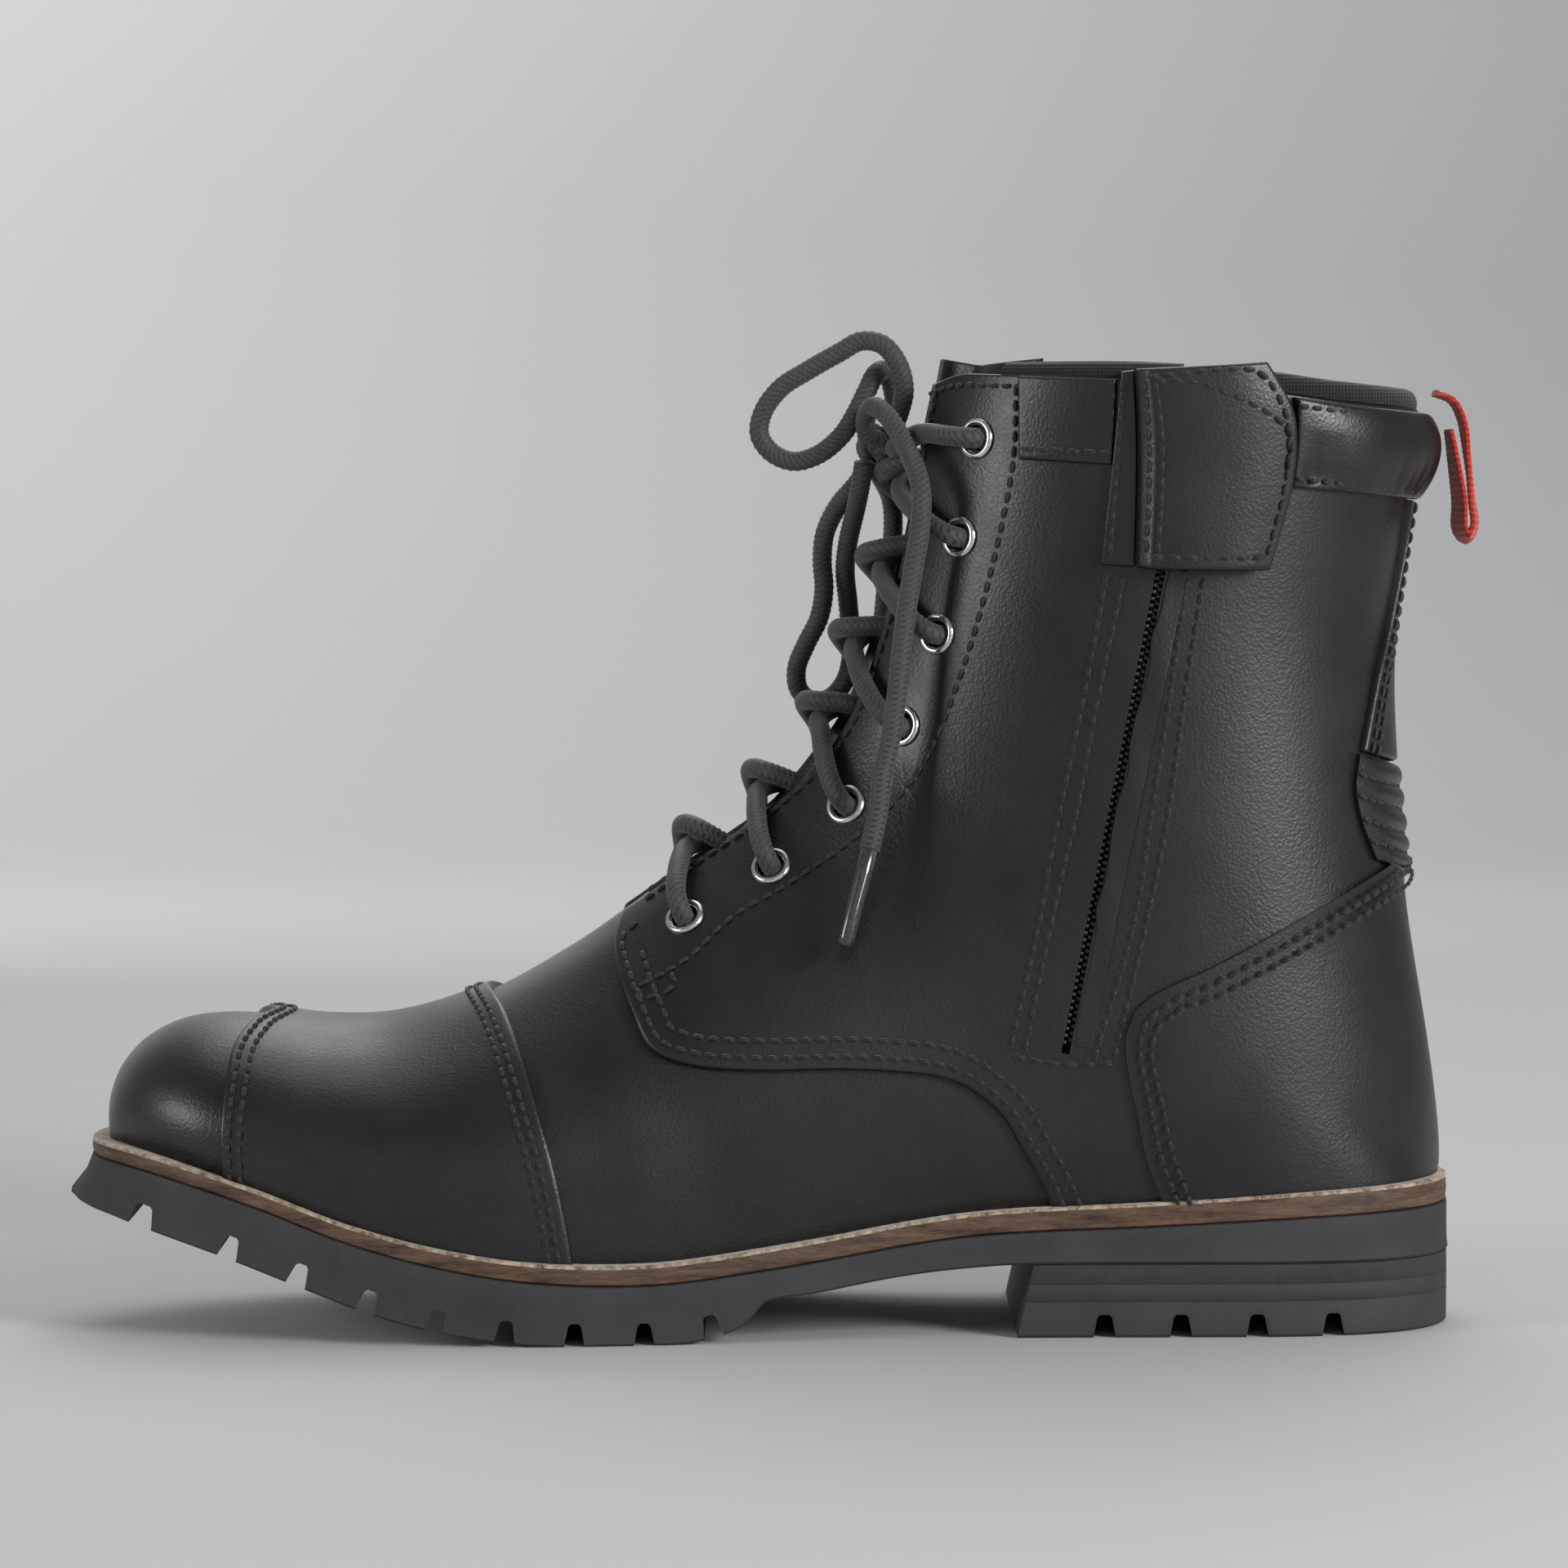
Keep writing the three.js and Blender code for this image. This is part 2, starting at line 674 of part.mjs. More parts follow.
function toeCap() {
  const rear = overInstep(shifted(PAD_FRONT, STEP_BACK));
  const edge = seam(rear);
  const nose = (u) => [0, 2 * u - 1];
  const side = (s, f) => (v) => [edge(f)[0] * v, s];
  return lasted(onOwnSide(patch(nose, edge, side(-1, 0), side(1, 1))), UNDER, 20, 10);
}

function toePuff() {
  const edge = seam(overInstep(shifted(PAD_FRONT, -0.6)));
  const start = 1.2;
  const nose = (u) => [start, 2 * u - 1];
  const side = (s, f) => (v) => [start + (edge(f)[0] - start) * v, s];
  return lasted(onOwnSide(patch(nose, edge, side(-1, 0), side(1, 1))), PUFF, 16, 6);
}

// A band across the foot between two seams.
function band(front, rear, depths, columns, rows) {
  const [low, high] = [seam(overInstep(front)), seam(overInstep(rear))];
  const side = (s, f) => (v) => [low(f)[0] + (high(f)[0] - low(f)[0]) * v, s];
  return lasted(onOwnSide(patch(low, high, side(-1, 0), side(1, 1))), depths, columns, rows);
}

const shiftPad = () => band(PAD_FRONT, PAD_REAR, OVER, 20, 7);
const vamp = () => band(shifted(PAD_FRONT, STEP_BACK + 0.06), VAMP_REAR, UNDER, 20, 10);
const vampLining = () => {
  const start = PAD_FRONT.map(([, s]) => [1.4, s]);
  return band(start, VAMP_REAR, LINED, 16, 9);
};

// ---------------------------------------------------------------- quarters
const ZIP_DIRECTION = new THREE.Vector2(
  (ZIP_HIGH[0] - ZIP_LOW[0]) * ALONG,
  (ZIP_HIGH[1] - ZIP_LOW[1]) * UP,
);

// A straight slot along the zip on the zip side, seen from the side as a thin bar.
const ZIP_BEYOND = 20; // how far the slot's cutter runs on past the rim
const INSIDE_LEG = 5; // from the middle of the leg to the cutter
function zipCutter(width, below = 0) {
  const length = ZIP_DIRECTION.length() + ZIP_BEYOND + below;
  const bar = new THREE.BoxGeometry(width, BALL_WIDTH, length);
  bar.translate(0, -BALL_WIDTH / 2 - INSIDE_LEG, length / 2 - below);
  bar.rotateY(Math.atan2(ZIP_DIRECTION.x, ZIP_DIRECTION.y));
  bar.translate(ZIP_LOW[0] * ALONG, 0, ZIP_LOW[1] * UP);
  return bar;
}

const EYELET_BORE = LACE / 2 + LACE_PLAY;
const EYELET_BARREL = EYELET_BORE + EYELET_WALL;
const eyeletCurve = new THREE.CatmullRomCurve3(
  EYELET_LINE.map(([x, z]) => new THREE.Vector3(x * ALONG, 0, z * UP)),
  false,
  "centripetal",
);
const EYELET_PLACES = Array.from({ length: EYELETS }, (_, i) => {
  const p = eyeletCurve.getPointAt(i / (EYELETS - 1));
  return locate(p.x, p.z);
});

// Stands a piece that was made around Y on the last, at depth 0.
function standOn(geometry, t, s) {
  const turn = new THREE.Quaternion().setFromUnitVectors(new THREE.Vector3(0, 1, 0), lastNormal(t, s));
  geometry.applyQuaternion(turn);
  const p = lastPoint(t, s);
  return geometry.translate(p.x, p.y, p.z);
}

function eyeletHoles(side) {
  return EYELET_PLACES.map(([t, s]) =>
    standOn(new THREE.CylinderGeometry(EYELET_BARREL + GAP, EYELET_BARREL + GAP, 14, 10), t, side * s),
  );
}

const backLine = seam([
  [lowT, 1],
  [13, 1],
  [14.6, 0.997],
  [T_HEEL, BACK_SEAM],
  [20, BACK_SEAM],
  [T_RIM_BACK, BACK_SEAM],
]);
const eyestay = seam([
  throat,
  [11, EYESTAY_GAP],
  [14, EYESTAY_GAP + 0.01],
  [18, EYESTAY_GAP + 0.01],
  [22, EYESTAY_GAP],
  rimFront,
]);

// A place on the zip side (side 1) or its mirror on the outer side (-1).
function onSide(side, place) {
  return (u, v) => {
    const [t, s] = place(u, v);
    return [t, side * s];
  };
}

function quarter(side) {
  const front = seam([...QUARTER_FRONT.slice(1).reverse(), throat]);
  const rim = seam([[T_RIM_BACK, BACK_SEAM], ...RIM.slice(1).reverse(), rimFront]);
  const place = onSide(side, onOwnSide(patch(backLine, eyestay, front, rim)));
  const tools = [soleBlank, ...eyeletHoles(side)];
  if (side > 0) tools.push(zipCutter(ZIP_SLOT));
  return cut(panel(place, OVER, 20, 12), ...tools);
}

// Leather behind one row of eyelets.
function facing(side) {
  const inset = 0.015;
  const edge = seam([
    [VAMP_REAR[0][0] + 0.45, EYESTAY_GAP + inset],
    [14, EYESTAY_GAP + 0.01 + inset],
    [18, EYESTAY_GAP + 0.01 + inset],
    [rimFront[0] - 0.2, EYESTAY_GAP + inset],
  ]);
  const back = seam(LINING_FRONT.slice(0, -1).reverse().map(([t, s]) => [t, s - 0.02]));
  const across = (f) => (v) => [
    edge(f)[0] + (back(f)[0] - edge(f)[0]) * v,
    edge(f)[1] + (back(f)[1] - edge(f)[1]) * v,
  ];
  const place = onSide(side, patch(edge, back, across(0), across(1)));
  return cut(panel(place, BACKED, 14, 3), ...eyeletHoles(side));
}

function quarterLining(side) {
  const back = seam([
    [VAMP_REAR[VAMP_REAR.length - 1][0] + 0.25, 1],
    [13, 1],
    [14.6, 0.995],
    [T_HEEL, 0.985],
    [20, 0.985],
    [T_RIM_BACK - 0.25, 0.985],
  ]);
  const front = seam(shifted(VAMP_REAR.slice(2).reverse(), 0.25));
  const edge = seam([shifted([VAMP_REAR[2]], 0.25)[0], ...LINING_FRONT.slice(0, -1).reverse()]);
  const lowered = shifted(RIM.slice(3), -0.25).reverse();
  const rim = seam([[T_RIM_BACK - 0.25, 0.985], ...lowered, LINING_FRONT[0]]);
  const place = onSide(side, onOwnSide(patch(back, edge, front, rim)));
  const tools = side > 0 ? [soleBlank, zipCutter(ZIP_SLOT + 2)] : [soleBlank];
  return cut(panel(place, LINED, 16, 8), ...tools);
}

// ---------------------------------------------------------------- tongue
const TONGUE_CROWN = -0.3; // tongue surface on the instep line
const TONGUE_WIDTH = 0.26; // half of it, as a turn

function tongue() {
  const from = VAMP_REAR[0][0] + 0.3;
  const to = LAST_END - 0.2;
  const place = (u, v) => [from + (to - from) * u, TONGUE_WIDTH * (2 * v - 1)];
  const outer = (u, v) => {
    const sunk = Math.min(1, Math.abs(2 * v - 1) / 0.3);
    const entry = Math.min(1, u / 0.08);
    const crown = TONGUE_SIDE + (TONGUE_CROWN - TONGUE_SIDE) * entry;
    return crown + (TONGUE_SIDE - crown) * (1 - Math.cos(Math.PI * sunk)) * 0.5;
  };
  return panel(place, [(u, v) => outer(u, v) - LEATHER, outer], 20, 12);
}

// ---------------------------------------------------------------- heel
function aroundHeel(front, top, depths, columns, rows) {
  const upper = seam(roundHeel([...top, [T_COUNTER_TOP, 1]]));
  const low = front[front.length - 1][0];
  const lower = (u) => {
    const turn = 2 * u - 1;
    return [T_HEEL + (low - T_HEEL) * Math.abs(turn), 1 + WALL_STEP * turn];
  };
  const left = seam([...front].reverse());
  const right = (v) => {
    const [t, s] = left(v);
    return [t, 2 - s];
  };
  return lasted(patch(lower, upper, left, right), depths, columns, rows);
}
const T_COUNTER_TOP = locate(135.4 * ALONG, 104.5 * UP)[0];

const heelCounter = () => aroundHeel(COUNTER_FRONT, COUNTER_TOP, TOP, 22, 7);
const heelStiffener = () =>
  aroundHeel(
    COUNTER_FRONT.map(([t, s]) => [t + 0.25, Math.min(1, s + 0.02)]),
    COUNTER_TOP.map(([t, s]) => [t - 0.5, s + 0.02]),
    [-STIFFENER - LAYER_GAP, -LAYER_GAP],
    18,
    5,
  );

// A strip up the back line: its front edge is given from the bottom to the top.
function backPiece(frontEdge, depths, columns, rows) {
  const left = seam(frontEdge);
  const right = (v) => {
    const [t, s] = left(v);
    return [t, 2 - s];
  };
  const across = (f) => (u) => {
    const [t, s] = left(f);
    return [t, s + (2 - 2 * s) * u];
  };
  return panel(patch(across(0), across(1), left, right), depths, columns, rows);
}

const BACK_STRIP_EDGE = places([
  [128.5, 126],
  [130.6, 142],
  [133.4, 156],
  [136.2, 172],
  [137.4, 179.6],
]);
const FLEX_PANEL_EDGE = places([
  [132.2, 106.4],
  [129.8, 111.7],
  [128.4, 119],
  [128.4, 124.4],
]);
const backStrip = () => backPiece(BACK_STRIP_EDGE, TOP, 8, 8);
const flexPanel = () => backPiece(FLEX_PANEL_EDGE, TOP, 8, 4);

// ---------------------------------------------------------------- collar
const COLLAR_LOW = places([
  [54, 190],
  [73, 189],
  [113.4, 184],
  [126, 183],
]);
const T_COLLAR_LOW = locate(137.6 * ALONG, 181.7 * UP)[0];
const RIM_DROP = 0.05;

function collarPanel(lowPlaces, highPlaces, depths, columns, rows) {
  const [low, high] = [seam(lowPlaces), seam(highPlaces)];
  const across = (f) => (v) => [0, 1].map((k) => low(f)[k] + (high(f)[k] - low(f)[k]) * v);
  return panel(patch(low, high, across(0), across(1)), depths, columns, rows);
}

function collarFront() {
  const high = shifted(places([
    [54, 208.2],
    [74, 207.6],
  ]), -RIM_DROP);
  const depths = [TOP[0], TOP[0] + LEATHER / 2];
  return collarPanel(COLLAR_LOW.slice(0, 2), high, depths, 4, 3);
}

// The padded band from behind the tab, round the back, to the outer eyestay.
function collarRear() {
  const outer = (list) => list.map(([t, s]) => [t, 2 - s]).reverse();
  const low = [...COLLAR_LOW.slice(2), [T_COLLAR_LOW, 1], ...outer(COLLAR_LOW)];
  const rim = shifted(places([[114.6, 204], [122, 202.8]]), -RIM_DROP);
  const rimOuter = shifted(places([[54, 208.2], [74, 207.8], [107, 204.8], [122, 202.8]]), -RIM_DROP);
  const high = [...rim, [T_RIM_BACK - RIM_DROP, 1], ...outer(rimOuter)];
  const puff = (u, v) => {
    const fullness = 0.35 + 0.65 * Math.exp(-(((u - 0.3) / 0.22) ** 2));
    const entry = Math.sin((Math.PI * Math.min(1, 8 * u + 0.1)) / 2);
    return TOP[1] + COLLAR_PAD * Math.sin(Math.PI * v) ** 0.8 * fullness * entry;
  };
  return collarPanel(low, high, [TOP[0], puff], 22, 5);
}

// Textile rim standing above the leather: a short length before the zip and a long one behind it.
function rimBinding(edge) {
  const low = seam(edge);
  const lift = RIM_BINDING / 13;
  const place = (u, v) => {
    const [t, s] = low(u);
    return [t + lift * v, s];
  };
  return panel(place, [LINED[1] + GAP, OVER[1] - 0.4], Math.ceil(edge.length * 3.5), 2);
}
const RIM_ABOVE = 0.9; // textile starts this far above the leather
const above = (list) => places(list.map(([x, z]) => [x, z + RIM_ABOVE]));
const rimBindingFront = () => rimBinding(above([[50, 208], [74, 207.6], [87.6, 206.8]]));
const rimBindingRear = () => {
  const rear = above([[95.4, 206], [107, 204.8], [122, 202.8]]);
  const outer = above([[50, 208.2], [74, 207.8], [107, 204.8], [122, 202.8]]);
  const far = outer.map(([t, s]) => [t, 2 - s]).reverse();
  return rimBinding([...rear, [T_RIM_BACK + 0.08, 1], ...far]);
};

// ---------------------------------------------------------------- zip
// A place beside the zip line: f from 0 (bottom) to 1 (rim), and off to the heel side in mm.
function besideZip(f, off) {
  const x = (ZIP_LOW[0] + (ZIP_HIGH[0] - ZIP_LOW[0]) * f) * ALONG;
  const z = (ZIP_LOW[1] + (ZIP_HIGH[1] - ZIP_LOW[1]) * f) * UP;
  const run = ZIP_DIRECTION.clone().normalize();
  return locate(x + off * run.y, z - off * run.x);
}

function zipStrip(side, near, far, from, to, depths, rows) {
  const place = (u, v) => besideZip(from + (to - from) * u, side * (near + (far - near) * v));
  return panel(place, depths, 18, rows);
}
const zipTape = (side) => zipStrip(side, GAP / 2, ZIP_TAPE, 0.015, 0.93, [-ZIP_TAPE_THICKNESS, 0], 2);
const zipCoil = (side) =>
  zipStrip(side, GAP / 2, ZIP_COIL + GAP / 2, 0.015, 0.9, [GAP, GAP + ZIP_COIL_HEIGHT], 1);

const SLIDER_PARKED = 0.87; // slider's place on the zip line when it is closed
const SLIDER_OPENED = 0.1;
const onZip = (f, d) => onLast(...besideZip(f, 0), d);
const sliderHome = onZip(SLIDER_PARKED, 0);
const zipRun = sliderHome.clone().sub(onZip(SLIDER_OPENED, 0));
const zipAxis = zipRun.clone().normalize();
const sliderOut = new THREE.Vector3(0, -1, 0);
sliderOut.addScaledVector(zipAxis, -sliderOut.dot(zipAxis)).normalize();
const sliderAcross = zipAxis.clone().cross(sliderOut).negate();
const SLIDER_LIFT = 0.7; // extra clearance for the curve of the leg

// Moves a piece drawn as X across, Y outwards and Z up the zip on to the slider's place.
function onSlider(geometry) {
  const frame = new THREE.Matrix4().makeBasis(sliderAcross, sliderOut, zipAxis);
  if (frame.determinant() < 0) frame.makeBasis(sliderAcross.clone().negate(), sliderOut, zipAxis);
  frame.setPosition(sliderHome);
  return geometry.applyMatrix4(frame);
}

function bar(width, low, high, bottom, top, x = 0) {
  const box = new THREE.BoxGeometry(width, high - low, top - bottom);
  return box.translate(x, (low + high) / 2, (bottom + top) / 2);
}

const PLATE_LOW = OVER[1] + GAP + SLIDER_LIFT;
const PLATE_HIGH = PLATE_LOW + SLIDER_PLATE;
const PULL_LOW = PLATE_HIGH + GAP;
const PULL_HIGH = PULL_LOW + PULL_THICKNESS;

function zipSlider() {
  const half = SLIDER_LENGTH / 2;
  const stemLow = GAP + ZIP_COIL_HEIGHT + GAP + SLIDER_LIFT;
  const plate = bar(SLIDER_WIDTH, PLATE_LOW, PLATE_HIGH, -half, half);
  const stem = bar(ZIP_SLOT - 1.8, stemLow, PLATE_LOW + 0.1, -half, half);
  const ears = [-1, 1].map((side) =>
    bar(0.8, PLATE_HIGH - 0.1, PULL_HIGH, half - 2.4, half, side * (PULL_WIDTH / 2 - 1)),
  );
  return onSlider(join(plate, stem, ...ears));
}

function zipPull() {
  const half = SLIDER_LENGTH / 2;
  const outline = new THREE.Shape();
  outline.moveTo(-0.9, half - 0.85);
  outline.lineTo(-0.9, half - 3.2);
  outline.lineTo(-PULL_WIDTH / 2, half - 4.6);
  outline.lineTo(-PULL_WIDTH / 2, half - PULL_LENGTH + 1.5);
  outline.lineTo(-PULL_WIDTH / 2 + 1.5, half - PULL_LENGTH);
  outline.lineTo(PULL_WIDTH / 2 - 1.5, half - PULL_LENGTH);
  outline.lineTo(PULL_WIDTH / 2, half - PULL_LENGTH + 1.5);
  outline.lineTo(PULL_WIDTH / 2, half - 4.6);
  outline.lineTo(0.9, half - 3.2);
  outline.lineTo(0.9, half - 0.85);
  const plate = new THREE.ExtrudeGeometry(outline, { depth: PULL_THICKNESS, bevelEnabled: false });
  plate.rotateX(Math.PI / 2);
  plate.translate(0, PULL_HIGH, 0);
  return onSlider(plate);
}

// ---------------------------------------------------------------- tab over the zip
const TAB_HINGE_LINE = [
  [78, 167],
  [78.6, 188],
  [78, 209.6],
];
const TAB_FREE_LINE = [
  [104.2, 166.9],
  [108.4, 182.9],
  [109.7, 194.2],
  [108.8, 201.8],
  [103.7, 211.4],
];
const TAB_INNER = PULL_HIGH + LAYER_GAP; // underside of the tab over the slider
const TAB_START = TOP[0] + 1;

function tabAnchor() {
  const low = places([[71, 167.6], [77.6, 167.2]]);
  const high = places([[75, 209], [77.6, 209.4]]);
  return collarPanel(low, high, [OVER[1] + GAP, OVER[1] + GAP + LEATHER], 3, 10);
}

function tabPlace() {
  const [hinge, free] = [seam(places(TAB_HINGE_LINE)), seam(places(TAB_FREE_LINE))];
  const across = (f) => (u) => [0, 1].map((k) => hinge(f)[k] + (free(f)[k] - hinge(f)[k]) * u);
  return patch(across(0), across(1), hinge, free);
}

const tabUnder = (u) => {
  const rise = Math.min(1, u / 0.1);
  const fall = Math.max(0, (u - 0.62) / 0.38);
  return TAB_START + (TAB_INNER - TAB_START) * rise - 0.9 * fall * fall;
};

const tabFlap = () => panel(tabPlace(), [(u) => tabUnder(u), (u) => tabUnder(u) + LEATHER], 12, 7);

// The hook half under the tab and the loop half on the quarter behind the zip.
function hookPatch() {
  const whole = tabPlace();
  const place = (u, v) => whole(0.7 + 0.22 * u, 0.12 + 0.72 * v);
  const under = (u) => tabUnder(0.7 + 0.22 * u) - GAP;
  return panel(place, [(u) => under(u) - HOOK_AND_LOOP, under], 4, 6);
}

function loopPatch() {
  const front = seam(places([[91.4, 168], [93.8, 182], [96.4, 196], [97.2, 200.5]]));
  const rear = seam(places([[105.3, 167.2], [110.2, 184.8], [112.4, 194], [109.4, 200.8]]));
  const across = (f) => (u) => [0, 1].map((k) => front(f)[k] + (rear(f)[k] - front(f)[k]) * u);
  return panel(patch(across(0), across(1), front, rear), [TOP[0], TOP[0] + HOOK_AND_LOOP], 6, 8);
}

// ---------------------------------------------------------------- heel pull
// Loop of webbing, side view, from its sewn end out over the rim and down.
const PULL_LOOP = [
  [145.6, 204.6],
  [149.4, 203],
  [151.6, 199],
  [153, 190],
  [154, 181],
  [154.6, 175.5],
  [153.2, 172.6],
  [151.5, 174.4],
  [151.2, 181],
  [149.9, 190],
  [148.8, 196.6],
];

function pullLoop() {
  const points = PULL_LOOP.map(([x, z]) => new THREE.Vector3(x * ALONG, 0, z * UP));
  const curve = new THREE.CatmullRomCurve3(points, false, "centripetal");
  const steps = 20;
  const rings = [];
  for (let k = 0; k <= steps; k++) {
    const p = curve.getPointAt(k / steps);
    const tangent = curve.getTangentAt(k / steps);
    const out = new THREE.Vector3(-tangent.z, 0, tangent.x).multiplyScalar(WEBBING / 2);
    const side = new THREE.Vector3(0, WEBBING_WIDTH / 2, 0);
    rings.push([
      p.clone().add(out).sub(side),
      p.clone().add(out).add(side),
      p.clone().sub(out).add(side),
      p.clone().sub(out).sub(side),
    ]);
  }
  return loft(rings);
}

// ---------------------------------------------------------------- laces
// A round cord along a list of points, with the given number of stretches between two points.
function cord(points, stretches, sides = 8, radius = LACE / 2) {
  const curve = new THREE.CatmullRomCurve3(points, false, "centripetal");
  const steps = (points.length - 1) * stretches;
  const at = (k) => curve.getPoint(Math.min(Math.max(k / steps, 0), 1));
  let across = new THREE.Vector3(0.31, 0.27, 0.91);
  const rings = [];
  for (let k = 0; k <= steps; k++) {
    const tangent = at(k + 0.5).sub(at(k - 0.5)).normalize();
    across = across.addScaledVector(tangent, -across.dot(tangent)).normalize();
    const third = tangent.clone().cross(across);
    rings.push(
      Array.from({ length: sides }, (_, j) => {
        const angle = (2 * Math.PI * j) / sides;
        const ring = across.clone().multiplyScalar(radius * Math.cos(angle));
        return at(k).add(ring.addScaledVector(third, radius * Math.sin(angle)));
      }),
    );
  }
  return loft(rings);
}

const CROSS_LOW = TONGUE_CROWN + GAP + LACE / 2;
const CROSS_HIGH = CROSS_LOW + LACE + LAYER_GAP;
const EYELET_TOP = OVER[1] + GAP + 0.7;

// The lace from one eyelet over the gap and under the other side to the next eyelet.
// Each row: share of the way to the next eyelet, turn, and depth.
function crossing(s, nextS, high) {
  const middle = high
    ? [
        [0.5, 0, CROSS_HIGH],
        [0.62, -0.045, CROSS_HIGH - 1.4],
        [0.76, -0.066, 0.6],
      ]
    : [
        [0.38, 0.05, LACE_ABOVE - 1],
        [0.5, 0, CROSS_LOW],
        [0.66, -0.045, 0.4],
      ];
  return [
    [0.05, s * 0.88, EYELET_TOP + LACE / 2 + 0.8],
    [0.18, s * 0.64, LACE_ABOVE + 0.9],
    [0.3, EYESTAY_GAP, LACE_ABOVE],
    ...middle,
    [0.85, -EYESTAY_GAP + 0.004, LACE_BELOW - 0.1],
    [0.94, -(nextS - 0.03), LACE_BELOW],
  ];
}

const KNOT = [23.7, 0, 193.2]; // pattern millimetres
const KNOT_HALF = [6.5, 6, 3.5];

// A point beside the knot, in millimetres from its middle.
function knotPlace(x, y, z) {
  return new THREE.Vector3(KNOT[0] * ALONG + x, KNOT[1] + y, KNOT[2] * UP + z);
}

// Half of the lace, threaded through every eyelet from the bottom up.
function lacePoints(firstSide) {
  const points = [];
  EYELET_PLACES.forEach(([t, s], i) => {
    const side = i % 2 ? -firstSide : firstSide;
    if (i === 0) points.push(onLast(t + 0.22, side * (EYESTAY_GAP + 0.05), LACE_BELOW));
    points.push(onLast(t, side * s, LACE_BELOW));
    points.push(onLast(t, side * s, EYELET_TOP + 1.2));
    if (i === EYELETS - 1) {
      points.push(onLast(t, side * s * 0.86, EYELET_TOP + LACE / 2 + 0.8));
      points.push(onLast(t, side * s * 0.6, LACE_ABOVE + 1.2));
      points.push(knotPlace(2.8, -side * (KNOT_HALF[1] + 3.4), -0.6));
      points.push(knotPlace(2.8, -side * (KNOT_HALF[1] + 0.4), -0.7));
      return;
    }
    const [nextT, nextS] = EYELET_PLACES[i + 1];
    for (const [f, turn, depth] of crossing(s, nextS, side < 0)) {
      points.push(onLast(t + f * (nextT - t), side * turn, depth));
    }
  });
  return points;
}

function laceKnot() {
  const ball = new THREE.SphereGeometry(1, 12, 8);
  ball.scale(...KNOT_HALF);
  const middle = knotPlace(0, 0, 0);
  return ball.translate(middle.x, middle.y, middle.z);
}

// The free parts of the lace, in pattern millimetres from the middle of the knot.
const LOOP_HIGH = [
  [2.5, -3, 4],
  [3.7, -5, 7.2],
  [4.7, -7.5, 12.2],
  [3.3, -8.5, 17.8],
  [-0.1, -8.5, 22],
  [-4.7, -8, 22.8],
  [-9.3, -7.5, 20.4],
  [-16.7, -6.5, 16.2],
  [-22.4, -6, 12.5],
  [-26.3, -5.2, 7.2],
  [-27.1, -4.6, 2.3],
  [-24.5, -4.5, -1.6],
  [-19.7, -5, -3.6],
  [-14.3, -5.4, -2.2],
  [-9.1, -5.6, 2],
  [-6.1, -5.2, 6.6],
  [-3.5, -4.2, 11.8],
  [-1.5, -2, 15.6],
  [0.7, 0.6, 16.4],
  [2.3, 2.4, 12.4],
  [2.9, 2.8, 8.2],
  [3.1, 2.8, 4],
];
const LOOP_LOW = [
  [-4.1, -2.6, -4],
  [-4.8, -1, -8.7],
  [-5.9, 4, -14.4],
  [-7.5, 9.5, -21.7],
  [-8.1, 13.5, -27.9],
  [-7.4, 18.5, -35.2],
  [-6.8, 21.6, -42.3],
  [-6.7, 23.2, -48.2],
  [-8.1, 23.8, -53.2],
  [-11.3, 23.6, -56.8],
  [-15.1, 22.6, -57.6],
  [-18.3, 21.4, -55],
  [-18.9, 19.8, -50.2],
  [-16.8, 17.4, -44.6],
  [-13.9, 16, -38.7],
  [-12.8, 14, -32.2],
  [-13.2, 12.2, -25.7],
  [-12.6, 10, -19.7],
  [-9.8, 7.6, -13.7],
  [-5.3, 4.4, -8.2],
  [-2.7, 3, -4],
];
const END_START = {
  medial: [
    [-3.2, -6.5, 1.3],
    [-3.9, -8.6, 4.8],
    [-2.3, -13.4, 8.4],
    [0.9, -18.4, 6.2],
    [4.6, -22.4, 0],
  ],
  lateral: [
    [-3.2, 6.5, 0.3],
    [-3.5, 10.5, -0.8],
    [-1.5, 15, -4.8],
  ],
};
// Where each free end hangs down the side of the lacing, side view.
const END_HANG = {
  medial: [
    [31.6, 184],
    [31.4, 174.8],
    [30, 166.6],
    [28.6, 157.9],
    [27.3, 147.5],
    [26.6, 140.8],
    [25.2, 130.4],
    [23.2, 121.7],
    [22.3, 113.9],
    [20.5, 106],
  ],
  lateral: [
    [26, 181],
    [26.5, 174],
    [25.5, 166],
    [24.5, 156],
    [23.8, 146],
    [23, 136],
    [22, 127],
    [20.5, 119],
    [19, 111],
  ],
};
const AGLET_TIP = { medial: [15, 85.4], lateral: [15.6, 90.5] };
const HANG_DEPTH = 11; // clear of the crossed laces below
const AGLET = 1.9; // radius

// The point a given depth off the last that a side view shows at x, z.
function hungAt([x, z], side, depth) {
  const aim = new THREE.Vector3(x * ALONG, 0, z * UP);
  const guess = aim.clone();
  let point = aim;
  for (let i = 0; i < 8; i++) {
    const [t, s] = locate(guess.x, guess.z);
    point = onLast(t, side * s, depth);
    guess.x += (aim.x - point.x) * 0.8;
    guess.z += (aim.z - point.z) * 0.8;
  }
  return point;
}

const looped = (list) => list.map(([x, y, z]) => knotPlace(x * ALONG, y, z * UP));

function laceEnd(name, side) {
  const hang = END_HANG[name].map((place) => hungAt(place, side, HANG_DEPTH));
  return cord([...looped(END_START[name]), ...hang], 2, 7);
}

